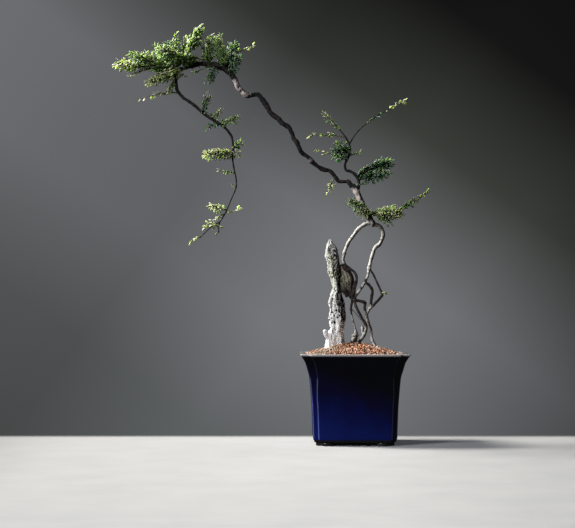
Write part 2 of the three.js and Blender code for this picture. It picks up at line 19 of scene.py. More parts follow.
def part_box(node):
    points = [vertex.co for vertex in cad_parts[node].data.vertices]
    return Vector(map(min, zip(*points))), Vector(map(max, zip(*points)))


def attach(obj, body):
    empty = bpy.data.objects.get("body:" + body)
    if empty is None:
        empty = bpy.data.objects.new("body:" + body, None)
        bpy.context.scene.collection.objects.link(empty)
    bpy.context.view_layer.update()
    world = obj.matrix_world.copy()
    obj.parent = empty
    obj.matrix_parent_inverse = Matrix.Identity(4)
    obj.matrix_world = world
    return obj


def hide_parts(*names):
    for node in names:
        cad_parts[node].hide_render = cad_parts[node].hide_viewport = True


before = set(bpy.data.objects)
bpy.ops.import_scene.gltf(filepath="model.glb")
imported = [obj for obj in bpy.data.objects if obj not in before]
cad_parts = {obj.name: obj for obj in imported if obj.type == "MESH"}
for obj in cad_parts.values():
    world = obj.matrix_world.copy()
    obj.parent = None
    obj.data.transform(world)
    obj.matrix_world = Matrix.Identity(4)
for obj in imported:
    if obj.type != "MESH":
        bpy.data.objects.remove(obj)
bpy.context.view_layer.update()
pot_low, pot_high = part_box("pot")
pot_middle = Vector(((pot_low.x + pot_high.x) / 2, (pot_low.y + pot_high.y) / 2, 0))
print("nodes:", len(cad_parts), "pot middle:", tuple(round(v, 4) for v in pot_middle))

# %% [markdown]
# ## Camera
#
# The plant was seen from straight in front, with a long lens held level a little above the soil.
# A level camera keeps the pot's upright edges upright; a small upward shift of the view frames
# the tall crown without tilting the camera.

# %% Camera
IMAGE_WIDTH = 575  # pixels
SENSOR = 36.0  # millimetres across the long side
FOCAL_PIXELS = 1717  # focal length, worked out from how the pot's top and base are seen
SHIFT_PIXELS = 36  # how far the horizon lies below the middle of the image

camera_data = bpy.data.cameras.new("camera")
camera_data.sensor_width = SENSOR
camera_data.lens = FOCAL_PIXELS * SENSOR / IMAGE_WIDTH
camera_data.shift_y = SHIFT_PIXELS / IMAGE_WIDTH
camera = bpy.data.objects.new("camera", camera_data)
camera.location = pot_middle + Vector((-0.093, -2.404, 0.200))
camera.rotation_euler = (math.pi / 2, 0, 0)
bpy.context.scene.collection.objects.link(camera)
bpy.context.scene.camera = camera
print("lens:", round(camera_data.lens, 1), "mm")

# %% [markdown]
# ## Two small tools for node trees
#
# Colours are written as sRGB hex values, as a paint chart gives them, and one function turns them
# into the linear values that the renderer works with. Another function adds a node to any tree,
# with its settings and its links, so that a whole material reads as a list of nodes.

# %% Colour and node tools
def linear(hex_colour):
    """An sRGB hex colour as linear red, green, blue and alpha."""
    values = [int(hex_colour[i:i + 2], 16) / 255 for i in (1, 3, 5)]
    return (*[v / 12.92 if v <= 0.04045 else ((v + 0.055) / 1.055) ** 2.4 for v in values], 1)


def add(tree, kind, settings=None, links=None):
    """Adds a node. A link's value is an output, a node, whose output in use is taken, or a value."""
    made = tree.nodes.new(kind)
    for name, value in (settings or {}).items():
        if name == "stops":
            points = made.color_ramp.elements
            while len(points) < len(value):
                points.new(1)
            for point, (position, colour) in zip(points, value):
                point.position, point.color = position, linear(colour)
        else:
            setattr(made, name, value)
    for name, value in (links or {}).items():
        if isinstance(value, bpy.types.Node):
            value = next(output for output in value.outputs if output.enabled)
        if isinstance(value, bpy.types.NodeSocket):
            tree.links.new(value, made.inputs[name])
        else:
            made.inputs[name].default_value = value
    return made


def new_material(name):
    """A material with an empty tree, and that tree."""
    made = bpy.data.materials.new(name)
    made.use_nodes = True
    made.node_tree.nodes.clear()
    return made, made.node_tree


print("middle grey in linear light:", round(linear("#808080")[0], 3))

# %% [markdown]
# ## Light, floor and backdrop
#
# The plant was lit like a portrait: one strong, fairly small lamp stands high at the left, a
# little behind the plant. A broader one at the front left is much weaker. So every left edge is
# bright, what faces the camera is in half shadow, and right sides and undersides are nearly black.
# A last weak lamp behind at the right lets the plant be looked at from all sides.
#
# Colours are shown with the Standard view, which keeps deep shadows deep.

# %% Lamps
def lamp(name, place, aim, size, power, colour):
    """A square area lamp at one place, turned towards another."""
    data = bpy.data.lights.new(name, "AREA")
    data.size = size
    data.energy = power
    data.color = linear(colour)[:3]
    made = bpy.data.objects.new(name, data)
    made.location = place
    made.rotation_euler = (Vector(aim) - Vector(place)).to_track_quat("-Z", "Y").to_euler()
    bpy.context.scene.collection.objects.link(made)
    return made


bpy.context.scene.view_settings.view_transform = "Standard"
plant_middle = (0, 0, 0.3)
lamp("key", (-1.75, 0.35, 1.95), plant_middle, 0.75, 122, "#fffdf9")
lamp("front_fill", (-2.2, -1.9, 1.3), plant_middle, 1.1, 70, "#f6f8ff")
lamp("right_rim", (1.7, 1.4, 1.2), plant_middle, 0.8, 8, "#eef2ff")

# %% [markdown]
# The backdrop is a plain grey wall. Its light leans: a broad bright band comes up from behind the
# pot and goes to the upper left, and the upper right stays almost black. It is part of the world,
# so it is drawn by direction, with one ramp across the band and one along it, multiplied. Only the
# camera sees these tones. The light that the room sends to the plant is one weak grey, because in
# a dark studio the wall gives almost none.

# %% Backdrop
BAND_LEAN = math.radians(53)
world = bpy.data.worlds.new("backdrop")
bpy.context.scene.world = world
world.use_nodes = True
sky = world.node_tree
sky.nodes.clear()
direction = add(sky, "ShaderNodeTexCoord").outputs["Generated"]
axes = add(sky, "ShaderNodeSeparateXYZ", links={0: direction})
aside = add(sky, "ShaderNodeMath", {"operation": "MULTIPLY"}, {0: axes.outputs["X"],
    1: axes.outputs["Y"]})
screen = add(sky, "ShaderNodeCombineXYZ", links={"X": aside, "Y": axes.outputs["Z"]})
turned = add(sky, "ShaderNodeVectorRotate", {"rotation_type": "Z_AXIS"}, {
    "Vector": screen.outputs[0], "Angle": -BAND_LEAN})
band = add(sky, "ShaderNodeSeparateXYZ", links={0: turned.outputs[0]})
across = add(sky, "ShaderNodeMapRange", links={
    "Value": band.outputs["X"], "From Min": -0.18, "From Max": 0.27}).outputs[0]
along = add(sky, "ShaderNodeMapRange", links={
    "Value": band.outputs["Y"], "From Min": -0.19, "From Max": 0.27}).outputs[0]
width_tones = add(sky, "ShaderNodeValToRGB", {"stops": [
    (0.0, "#535655"), (0.2, "#5e6162"), (0.36, "#747679"), (0.51, "#737578"), (0.67, "#3c3e3a"),
    (0.82, "#151615"), (1.0, "#0d0e0d")]}, {"Fac": across})
length_tones = add(sky, "ShaderNodeValToRGB", {"stops": [
    (0.0, "#9a9a9a"), (0.24, "#f6f6f6"), (0.41, "#ffffff"), (0.59, "#d5d5d5"),
    (0.76, "#e0e0e0"), (1.0, "#f9f9f9")]}, {"Fac": along})
tones = add(sky, "ShaderNodeMix", {"data_type": "RGBA", "blend_type": "MULTIPLY"}, {
    0: 1.0, 6: width_tones, 7: length_tones}).outputs[2]
wall = add(sky, "ShaderNodeBackground", links={"Color": tones})
room = add(sky, "ShaderNodeBackground", links={"Color": linear("#c9cfda"), "Strength": 0.08})
seen = add(sky, "ShaderNodeLightPath").outputs["Is Camera Ray"]
backdrop = add(sky, "ShaderNodeMixShader", links={
    0: seen, 1: room.outputs[0], 2: wall.outputs[0]})
add(sky, "ShaderNodeOutputWorld", links={"Surface": backdrop.outputs[0]})
print("backdrop nodes:", len(sky.nodes))

# %% [markdown]
# The floor is pale, with painted light on it: it is painted darkest at the far left and a little
# darker at the right, as if the lamp's pool of light fell off towards its sides. It fades out a
# hand's breadth behind the pot and far away at its other sides, so that it meets the backdrop
# without an edge. A floor this wide would light the plant from below and fill the glaze with its
# mirror image, where the real one was narrow, so it is hidden from reflections and sends no light
# back.

# %% Floor
FLOOR_HALF = 2.5  # metres
floor_mesh = bpy.data.meshes.new("floor")
floor_mesh.from_pydata(
    [(x * FLOOR_HALF, y * FLOOR_HALF, 0) for x, y in ((-1, -1), (1, -1), (1, 1), (-1, 1))],
    [], [(0, 1, 2, 3)])
floor = bpy.data.objects.new("floor", floor_mesh)
floor.visible_glossy = False
floor.visible_diffuse = False
bpy.context.scene.collection.objects.link(floor)

floor_finish, tree = new_material("pale plaster floor")
place = add(tree, "ShaderNodeTexCoord").outputs["Object"]
axes = add(tree, "ShaderNodeSeparateXYZ", links={0: place})
sideways = add(tree, "ShaderNodeMath", {"operation": "ABSOLUTE"}, {0: axes.outputs["X"]})
fades = [add(tree, "ShaderNodeMapRange", {"interpolation_type": "SMOOTHSTEP"}, {
    "Value": value, "From Min": start, "From Max": end, "To Min": 1, "To Max": 0}).outputs[0]
    for value, start, end in ((axes.outputs["Y"], 0.085, 0.14), (sideways, 0.8, 1.5))]
front = add(tree, "ShaderNodeMapRange", {"interpolation_type": "SMOOTHSTEP"}, {
    "Value": axes.outputs["Y"], "From Min": -1.9, "From Max": -1.2}).outputs[0]
back_and_sides = add(tree, "ShaderNodeMath", {"operation": "MULTIPLY"}, {
    0: fades[0], 1: fades[1]})
cover = add(tree, "ShaderNodeMath", {"operation": "MULTIPLY"}, {0: back_and_sides, 1: front})
trowel = add(tree, "ShaderNodeTexNoise", links={
    "Vector": place, "Scale": 14, "Detail": 6, "Roughness": 0.55}).outputs["Fac"]
troweled = add(tree, "ShaderNodeValToRGB", {"stops": [(0.3, "#c0c0be"), (0.7, "#cac9c6")]}, {
    "Fac": trowel})
# Painted light: across its width the floor is painted darker at the left and a little at the right
width = add(tree, "ShaderNodeMapRange", links={
    "Value": axes.outputs["X"], "From Min": -0.5, "From Max": 0.5})
painted_light_falloff = add(tree, "ShaderNodeValToRGB", {"stops": [
    (0.0, "#a0a0a0"), (0.22, "#dcdcdc"), (0.5, "#f9f9f9"), (0.62, "#ffffff"),
    (1.0, "#eaeaea")]}, {"Fac": width})
toned = add(tree, "ShaderNodeMix", {"data_type": "RGBA", "blend_type": "MULTIPLY"}, {
    0: 1.0, 6: troweled, 7: painted_light_falloff.outputs["Color"]})
plaster = add(tree, "ShaderNodeBsdfPrincipled", links={
    "Base Color": toned, "Roughness": 0.7, "Alpha": cover})
add(tree, "ShaderNodeOutputMaterial", links={"Surface": plaster})
floor_mesh.materials.append(floor_finish)
print("floor:", [round(side, 2) for side in floor.dimensions], "m")

# %% [markdown]
# ## Measures shared by all pieces
#
# The pieces are drawn in millimetres from the middle of the pot, as on the part's drawing, and are
# moved into the frame when their mesh is made. A plain mesh function and a function that settles
# a modifier into a plain mesh are all that the rest of the lesson needs.

# %% Mesh tools
MM = 0.001


def to_frame(point):
    """A point in millimetres from the pot's middle, in the frame's metres."""
    return Vector(point) * MM + pot_middle


def new_piece(name, points, faces, edges=()):
    """A mesh object from points in millimetres from the pot's middle."""
    mesh = bpy.data.meshes.new(name)
    mesh.from_pydata([to_frame(p) for p in points], list(edges), faces)
    mesh.update()
    made = bpy.data.objects.new(name, mesh)
    bpy.context.scene.collection.objects.link(made)
    return made


print("the pot's middle on the floor:", [round(v, 4) for v in to_frame((0, 0, 0))], "m")

# %% [markdown]
# Two more tools finish a mesh. One merges doubled points and turns every face outwards, because a
# face that points inwards is shaded wrongly. The other turns live modifiers into plain mesh.

# %% Tidy and settle a mesh
def tidy_faces(piece, smooth=True):
    """Merges doubles, turns all faces outwards and sets their shading."""
    work = bmesh.new()
    work.from_mesh(piece.data)
    bmesh.ops.remove_doubles(work, verts=work.verts, dist=1e-6)
    bmesh.ops.recalc_face_normals(work, faces=work.faces)
    work.to_mesh(piece.data)
    work.free()
    piece.data.shade_smooth() if smooth else piece.data.shade_flat()


def settle(piece):
    """Turns a piece's modifiers into plain mesh."""
    graph = bpy.context.evaluated_depsgraph_get()
    graph.update()
    mesh = bpy.data.meshes.new_from_object(
        piece.evaluated_get(graph), preserve_all_data_layers=True, depsgraph=graph)
    piece.modifiers.clear()
    old = piece.data
    piece.data = mesh
    bpy.data.meshes.remove(old)
    mesh.name = piece.name


print("made the tools", tidy_faces.__name__, "and", settle.__name__)

# %% [markdown]
# Every piece ends in the same way: it gets its finish, is tied to the body it moves with, hides
# the CAD nodes it stands for, and prints how many triangles it has.

# %% Dress a piece
def dress(piece, material, slot, *nodes):
    """Gives a finished piece its material and its place on the body, and hides its CAD nodes.
    The slot is not used.
    """
    if material.name not in piece.data.materials:
        piece.data.materials.clear()
        piece.data.materials.append(material)
    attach(piece, "root")
    if nodes:
        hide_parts(*nodes)
    piece.data.calc_loop_triangles()
    print(piece.name, len(piece.data.loop_triangles), "triangles")


# %% [markdown]
# Listed points are far apart. A Catmull-Rom curve passes through each of them without corners,
# so a few rows of a table give a smooth limb or a smooth flare.

# %% A smooth line through points
def smooth_line(points, spacing):
    """Rows closely spaced along a smooth curve through the given rows of numbers."""
    points = np.array(points, float)
    rows = [2 * points[0] - points[1], *points, 2 * points[-1] - points[-2]]
    made = []
    for before, start, end, after in zip(rows, rows[1:], rows[2:], rows[3:]):
        count = max(2, round(float(np.linalg.norm((end - start)[:3])) / spacing))
        for t in np.arange(count) / count:
            made.append(0.5 * (
                2 * start + (end - before) * t
                + (2 * before - 5 * start + 4 * end - after) * t ** 2
                + (3 * start - before - 3 * end + after) * t ** 3))
    made.append(points[-1])
    return np.array(made)


print("rows from three points:", len(smooth_line([(0, 0), (5, 1), (10, 0)], 1)))

# %% [markdown]
# ## The pot
#
# The pot is slip-cast stoneware: a square with indented corners that flares towards its rim and
# stands on four low corner feet. It could be a box with bevels, but the indented corners and the
# flare are one rule, a ring of points whose size and indent change with height. So it is drawn
# as rings, from the drain hole out under the floor, up the outside, over the lip and down the
# inside, and the last ring joins the first. Each ring rounds its corners, which is where a glaze
# breaks and catches the light.

# %% Pot: one ring
SIDE_POINTS = 16
ARC_POINTS = 5


def arc(x, y, radius, start, end):
    """Points on a quarter circle, from one angle to another in degrees."""
    turns = np.radians(np.linspace(start, end, ARC_POINTS))
    return [(x + radius * math.cos(a), y + radius * math.sin(a)) for a in turns]


def pot_ring(height, half, notch, arris):
    """A square ring with indented corners and rounded edges."""
    inner = half - notch
    run = inner - arris
    fillet = min(arris, notch * 0.3)
    quarter = [(half, y) for y in np.linspace(-run, run, SIDE_POINTS)[:-1]]
    quarter += arc(half - arris, inner - arris, arris, 0, 90)
    quarter += arc(inner + fillet, inner + fillet, fillet, 270, 180)
    quarter += arc(inner - arris, half - arris, arris, 0, 90)[:-1]
    ring = []
    for cos, sin in ((1, 0), (0, 1), (-1, 0), (0, -1)):
        ring += [(x * cos - y * sin, x * sin + y * cos, height) for x, y in quarter]
    return ring


def round_ring(height, radius, like):
    """A circle whose points lie in the same directions as another ring's."""
    turns = [math.atan2(y, x) for x, y, _ in like]
    return [(radius * math.cos(a), radius * math.sin(a), height) for a in turns]


print("points in a ring:", len(pot_ring(0, 60, 8, 2)))

# %% [markdown]
# With one ring as a function of its height and size, the pot is a list of heights. The rings follow
# one another round the whole wall, so that the skin closes on itself.

# %% Pot: the rings and their skin
POT_HEIGHT = 126
RIM_HALF = 75.3
WALL = 6.5
FLOOR_TOP = 12.5
FOOT_HEIGHT = 4.5
DRAIN_RADIUS = 9
MOUTH_HALF = 67.3
NOTCH_FOOT, NOTCH_RIM, NOTCH_FLARE = 7, 13, 60
ARRIS = 1.7
POT_SIDE = [(9, 57.6), (30, 58.3), (56, 59.3), (90.5, 62.3), (102, 65.2), (114, 68.8),
            (121, 72.8)]


def notch_at(height):
    """Width of the indented corner at a height."""
    t = min(max((height - NOTCH_FLARE) / (POT_HEIGHT - NOTCH_FLARE), 0), 1)
    return NOTCH_FOOT + (NOTCH_RIM - NOTCH_FOOT) * t * t * (3 - 2 * t)


outside = [(height, half, ARRIS) for height, half in smooth_line(POT_SIDE, 3.2)]
base = [(4.5, 55.0, 1.0), (4.9, 55.5, 1.4), (7.8, 57.0, ARRIS), (8.6, 57.4, ARRIS)]
lip = [(122.2, 73.5, ARRIS), (122.8, 74.3, 2), (123.7, 75.0, 2.2), (124.9, RIM_HALF, 2.2),
       (125.6, 74.9, 2), (POT_HEIGHT, 74.0, 1.6), (POT_HEIGHT, 70.8, 1.2), (125.7, 68.6, 1),
       (124.9, 67.6, 1), (123.6, MOUTH_HALF, 1)]
inside = [(height, min(half - WALL, MOUTH_HALF), 2) for height, half, _ in outside[::-2]]
rings = [pot_ring(z, half, notch_at(z), arris)
         for z, half, arris in base + outside + lip + inside]
rings.append(pot_ring(FLOOR_TOP, POT_SIDE[0][1] - WALL, NOTCH_FOOT, 2))
rings += [round_ring(FLOOR_TOP, r, rings[0]) for r in (30, DRAIN_RADIUS)]
rings += [round_ring(FOOT_HEIGHT, r, rings[0]) for r in (DRAIN_RADIUS, 30)]

points = [p for ring in rings for p in ring]
count = len(rings[0])
faces = []
for level in range(len(rings)):
    above = (level + 1) % len(rings)
    for i in range(count):
        j = (i + 1) % count
        faces.append((level * count + i, level * count + j, above * count + j, above * count + i))


print("rings:", len(rings), "faces:", len(faces))

# %% [markdown]
# The feet are four low corner pieces, each shaped like an L. They are closed blocks that go a
# little way up into the pot's floor, as feet that were pressed onto it would.

# %% Pot: the feet
FOOT_OUTER = 53.8  # on the ground; the foot widens upwards
FOOT_WIDTH, FOOT_LENGTH = 8, 24
FOOT_INNER, FOOT_START = FOOT_OUTER - FOOT_WIDTH, FOOT_OUTER - FOOT_LENGTH


def foot_ring(height, inset, turn):
    """The outline of one foot at a height, drawn in from its edge and turned to its corner."""
    out, inn, start = FOOT_OUTER - inset, FOOT_INNER + inset, FOOT_START + inset
    corner = out - NOTCH_FOOT
    outline = [(out, start), (out, corner), (corner, corner), (corner, out), (start, out),
               (start, inn), (inn, inn), (inn, start)]
    cos, sin = ((1, 0), (0, 1), (-1, 0), (0, -1))[turn]
    return [(x * cos - y * sin, x * sin + y * cos, height) for x, y in outline]


for turn in range(4):
    first = len(points)
    levels = [(0, 1.1), (0.35, 0.45), (1.0, 0.1), (FOOT_HEIGHT + 0.8, 0)]
    for height, inset in levels:
        points += foot_ring(height, inset, turn)
    corners = 8
    for level in range(len(levels) - 1):
        for i in range(corners):
            j = (i + 1) % corners
            low = first + level * corners
            faces.append((low + i, low + j, low + corners + j, low + corners + i))
    faces.append(tuple(first + i for i in reversed(range(corners))))
    faces.append(tuple(first + (len(levels) - 1) * corners + i for i in range(corners)))

pot = new_piece("glazed_pot", points, faces)
tidy_faces(pot)
print("pot with feet:", len(pot.data.polygons), "faces")

# %% [markdown]
# The glaze runs away from sharp edges while it is molten, so it is thin and pale along the rim
# and the corners. The pale edges are painted highlight as well: the corner lines are painted
# strongest low on the wall and fade upwards, and the lip is painted pale grey all round. The mesh
# stores that as a number for each point, which the material reads.

# %% Pot: where the glaze is thin, and the painted highlights
def near_corner(x, y, half, notch):
    """1 on one of the two outer edges beside an indented corner, 0 away from them."""
    x, y = abs(x), abs(y)
    inner = half - notch
    gap = min(math.hypot(x - half, y - inner), math.hypot(x - inner, y - half))
    return max(0, 1 - gap / 1.6)


heights = [z for z, _ in POT_SIDE] + [124, POT_HEIGHT]
halves = [half for _, half in POT_SIDE] + [75, RIM_HALF]
thin = []
for vertex in pot.data.vertices:
    x, y, z = (vertex.co - pot_middle) / MM
    half = float(np.interp(z, heights, halves))
    # Glaze break and painted highlight: corner lines strongest below 84 mm, and a pale lip
    edge = 0.8 * near_corner(x, y, half, notch_at(z)) * min(max((104 - z) / 20, 0.15), 1)
    rim = min(max((z - 122.6) / 1.0, 0), 1)
    thin.append(max(edge, rim))
pot.data.attributes.new("thin_glaze", "FLOAT", "POINT").data.foreach_set("value", thin)
print("glazed points:", len(thin), "thin:", sum(t > 0.3 for t in thin))

# %% [markdown]
# ### The pot's finish
#
# A cobalt glaze over stoneware, dipped and fired glossy. Its blue carries painted shade: it is
# painted near black towards the top and towards the right, where the flared wall gets little
# light, and a clearer blue low at the left, with soft clouds that are the glaze's own. The glass
# is a coat with a low roughness over a duller coloured layer, with very shallow waves from the
# firing. The glaze was wiped off above the feet, so that the pot would not stick in the kiln, and
# dark bare stoneware shows there.

# %% Pot: cobalt glaze
glaze, tree = new_material("cobalt glaze on stoneware")
place = add(tree, "ShaderNodeTexCoord").outputs["Object"]
axes = add(tree, "ShaderNodeSeparateXYZ", links={0: place})
level = axes.outputs["Z"]
clouds = add(tree, "ShaderNodeTexNoise", links={
    "Vector": place, "Scale": 28, "Detail": 4, "Roughness": 0.6}).outputs["Fac"]
# Painted shade: the blue darkens upwards and towards the right; the clouds are the glaze's own
painted_shade_lean = add(tree, "ShaderNodeMath", {"operation": "MULTIPLY_ADD"}, {
    0: axes.outputs["X"], 1: 0.32, 2: level})
clouds_and_painted_shade = add(tree, "ShaderNodeMath", {"operation": "MULTIPLY_ADD"}, {
    0: clouds, 1: 0.045, 2: painted_shade_lean})
depth = add(tree, "ShaderNodeMapRange", links={
    "Value": clouds_and_painted_shade.outputs[0], "From Min": 0.055, "From Max": 0.175}).outputs[0]
cobalt = add(tree, "ShaderNodeValToRGB", {"stops": [
    (0.0, "#10246e"), (0.22, "#0a195e"), (0.42, "#050a46"), (0.60, "#030328"),
    (0.8, "#010109")]}, {"Fac": depth})
break_up = add(tree, "ShaderNodeTexNoise", links={
    "Vector": place, "Scale": 260, "Detail": 3}).outputs["Fac"]
# Glaze break and painted highlight: lavender-blue corner lines and a pale grey lip
break_and_highlight_place = add(tree, "ShaderNodeAttribute", {"attribute_name": "thin_glaze"}).outputs["Fac"]
worn = add(tree, "ShaderNodeMath", {"operation": "MULTIPLY_ADD", "use_clamp": True}, {
    0: break_up, 1: 0.5, 2: -0.25})
break_and_highlight_edge = add(tree, "ShaderNodeMath", {"operation": "MULTIPLY_ADD", "use_clamp": True}, {
    0: worn.outputs[0], 1: break_and_highlight_place, 2: break_and_highlight_place})
break_and_highlight_tone = add(tree, "ShaderNodeMapRange", links={
    "Value": level, "From Min": 0.1195, "From Max": 0.1235})
break_and_highlight_glass = add(tree, "ShaderNodeMix", {"data_type": "RGBA"}, {0: break_and_highlight_tone,
    6: linear("#7f83c6"), 7: linear("#b7b2ae")})
glazed = add(tree, "ShaderNodeMix", {"data_type": "RGBA"}, {0: break_and_highlight_edge.outputs[0], 6: cobalt,
    7: break_and_highlight_glass})
uneven = add(tree, "ShaderNodeMath", {"operation": "ADD"}, {0: add(tree, "ShaderNodeMath", {
    "operation": "MULTIPLY"}, {0: break_up, 1: 0.002}), 1: level})
bare_foot_and_lit_bark = add(tree, "ShaderNodeMapRange", links={
    "Value": uneven, "From Min": 0.0086, "From Max": 0.0094, "To Min": 1,
    "To Max": 0}).outputs[0]
grit = add(tree, "ShaderNodeValToRGB", {"stops": [(0.35, "#141210"), (0.65, "#2c2723")]}, {
    "Fac": break_up})
colour = add(tree, "ShaderNodeMix", {"data_type": "RGBA"}, {0: bare_foot_and_lit_bark, 6: glazed, 7: grit})
print("nodes in the glaze's colour:", len(tree.nodes))

# %% [markdown]
# The glaze is glass: smooth, with slow waves where it ran, and a clear coat over the colour. The
# bare foot is rough, as the stoneware that the pot is made of.

# %% Pot: the glaze's surface
waves = add(tree, "ShaderNodeTexNoise", links={
    "Vector": place, "Scale": 70, "Detail": 2}).outputs["Fac"]
ripple = add(tree, "ShaderNodeBump", links={
    "Strength": 0.12, "Distance": 0.0006, "Height": waves}).outputs[0]
dull = add(tree, "ShaderNodeMapRange", links={
    "Value": bare_foot_and_lit_bark, "To Min": 0.22, "To Max": 0.8}).outputs[0]
glass = add(tree, "ShaderNodeBsdfPrincipled", links={
    "Base Color": colour, "Roughness": dull, "Normal": ripple, "IOR": 1.5,
    "Specular IOR Level": 0.3, "Coat Weight": 0.6, "Coat Roughness": 0.04,
    "Coat Normal": ripple})
add(tree, "ShaderNodeOutputMaterial", links={"Surface": glass})
dress(pot, glaze, "glaze", "pot")
print("nodes in the glaze:", len(tree.nodes))

# %% [markdown]
# ## The soil
#
# The pot is filled with baked clay granules of two to four millimetres, heaped towards the
# middle. A copy of the CAD solid is the bed, roughened and dark, and loose granules are scattered
# over its top. Scattering by hand would take days, so Geometry Nodes spread points over the
# upward faces, a granule's width apart, and put one of five stones on each, turned at random.

# %% Soil bed
bed = new_piece("soil_bed", [], [])
bed.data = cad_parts["soil"].data.copy()
bed.data.name = "soil_bed"
tidy_faces(bed)
work = bmesh.new()
work.from_mesh(bed.data)
SOIL_EDGE = 0.1235
top_edges = [e for e in work.edges if all(v.co.z > SOIL_EDGE for v in e.verts)]
bmesh.ops.subdivide_edges(work, edges=top_edges, cuts=4, use_grid_fill=True)
for vertex in work.verts:
    if vertex.co.z > SOIL_EDGE + 0.0004:
        vertex.co.z += 0.0011 * noise.noise(vertex.co * 420) - 0.0009
work.to_mesh(bed.data)
work.free()
bed.data.shade_smooth()
print("soil bed:", len(bed.data.polygons), "faces, from", SOIL_EDGE, "m up")

# %% [markdown]
# Crushed and sieved clay has no two grains alike, but five shapes, turned and sized at random, are
# enough for the eye. Each has only 20 faces, because there are thousands of them.

# %% Granule shapes
draw = random.Random(21)


def stone(name):
    """An angular granule, one unit across, from a jittered icosahedron."""
    work = bmesh.new()
    bmesh.ops.create_icosphere(work, subdivisions=1, radius=0.5)
    stretch = [draw.uniform(0.75, 1.15), draw.uniform(0.75, 1.1), draw.uniform(0.6, 0.95)]
    for vertex in work.verts:
        size = draw.uniform(0.84, 1.14)
        vertex.co = Vector([c * s * size for c, s in zip(vertex.co, stretch)])
    mesh = bpy.data.meshes.new(name)
    work.to_mesh(mesh)
    work.free()
    return bpy.data.objects.new(name, mesh)


stones = bpy.data.collections.new("stones")
for index in range(5):
    stones.objects.link(stone(f"stone_{index}"))


# %% [markdown]
# Node trees need two helpers: one makes an empty tree with named inputs, and one runs a tree on a
# piece, with its inputs set by the identifiers that the modifier knows them by.

# %% Geometry Nodes tools
def new_node_group(name, sockets):
    """A Geometry Nodes tree with named inputs, and its input and output nodes."""
    group = bpy.data.node_groups.new(name, "GeometryNodeTree")
    group.interface.new_socket("Geometry", in_out="INPUT", socket_type="NodeSocketGeometry")
    for label, kind in sockets.items():
        group.interface.new_socket(label, in_out="INPUT", socket_type="NodeSocket" + kind)
    group.interface.new_socket("Geometry", in_out="OUTPUT", socket_type="NodeSocketGeometry")
    return group, add(group, "NodeGroupInput"), add(group, "NodeGroupOutput")


def run_nodes(piece, group, values):
    """Puts a node tree on a piece and sets its inputs by their identifiers."""
    modifier = piece.modifiers.new(group.name, "NODES")
    modifier.node_group = group
    for item in group.interface.items_tree:
        if item.in_out == "INPUT" and item.name in values:
            modifier[item.identifier] = values[item.name]
    settle(piece)


print("made the tools", new_node_group.__name__, "and", run_nodes.__name__)

# %% [markdown]
# The granules' own tree keeps to the top of the bed, spreads points at an even distance, and puts a
# stone on each. A tone is stored for every stone before the stones are made real.

# %% Granules: the node tree
scatter, given, result = new_node_group("granules over the bed", {
    "Stones": "Collection", "Apart": "Float", "Smallest": "Float", "Largest": "Float",
    "Lowest": "Float", "Seed": "Int", "Material": "Material"})
facing = add(scatter, "GeometryNodeInputNormal").outputs[0]
upward = add(scatter, "ShaderNodeSeparateXYZ", links={0: facing}).outputs["Z"]
where = add(scatter, "GeometryNodeInputPosition").outputs[0]
how_high = add(scatter, "ShaderNodeSeparateXYZ", links={0: where}).outputs["Z"]
flat = add(scatter, "FunctionNodeCompare", {"operation": "GREATER_THAN"}, {0: upward, 1: 0.4})
high = add(scatter, "FunctionNodeCompare", {"operation": "GREATER_THAN"}, {
    0: how_high, 1: given.outputs["Lowest"]})
on_top = add(scatter, "FunctionNodeBooleanMath", {"operation": "AND"}, {
    0: flat.outputs[0], 1: high.outputs[0]})
spread = add(scatter, "GeometryNodeDistributePointsOnFaces", {"distribute_method": "POISSON"}, {
    "Mesh": given.outputs["Geometry"], "Selection": on_top.outputs[0],
    "Distance Min": given.outputs["Apart"], "Density Max": 900000,
    "Seed": given.outputs["Seed"]})
kinds = add(scatter, "GeometryNodeCollectionInfo", links={
    "Collection": given.outputs["Stones"], "Separate Children": True, "Reset Children": True})
turn = add(scatter, "FunctionNodeRandomValue", {"data_type": "FLOAT_VECTOR"}, {
    "Max": (math.tau, math.tau, math.tau), "Seed": given.outputs["Seed"]})
size = add(scatter, "FunctionNodeRandomValue", {"data_type": "FLOAT"}, {
    2: given.outputs["Smallest"], 3: given.outputs["Largest"], "Seed": given.outputs["Seed"]})
placed = add(scatter, "GeometryNodeInstanceOnPoints", links={
    "Points": spread.outputs["Points"], "Instance": kinds.outputs[0], "Pick Instance": True,
    "Rotation": turn.outputs[0], "Scale": size.outputs[1]})
tone = add(scatter, "FunctionNodeRandomValue", {"data_type": "FLOAT"}, {2: 0.0, 3: 1.0,
    "Seed": 5})
toned = add(scatter, "GeometryNodeStoreNamedAttribute", {
    "data_type": "FLOAT", "domain": "INSTANCE"}, {
    "Geometry": placed.outputs[0], "Name": "grain_tone", "Value": tone.outputs[1]})
real = add(scatter, "GeometryNodeRealizeInstances", links={"Geometry": toned.outputs[0]})
coated = add(scatter, "GeometryNodeSetMaterial", links={
    "Geometry": real.outputs[0], "Material": given.outputs["Material"]})
scatter.links.new(coated.outputs[0], result.inputs[0])
print("nodes in the granules tree:", len(scatter.nodes))

# %% [markdown]
# ### The soil's finish
#
# The granules are low-fired red clay mixed with a little pumice: matt and dusty, orange-brown,
# with some dark damp ones and a few nearly white ones. Each granule has its own tone, a random
# number that the node tree stored, and a fine grain of its own.

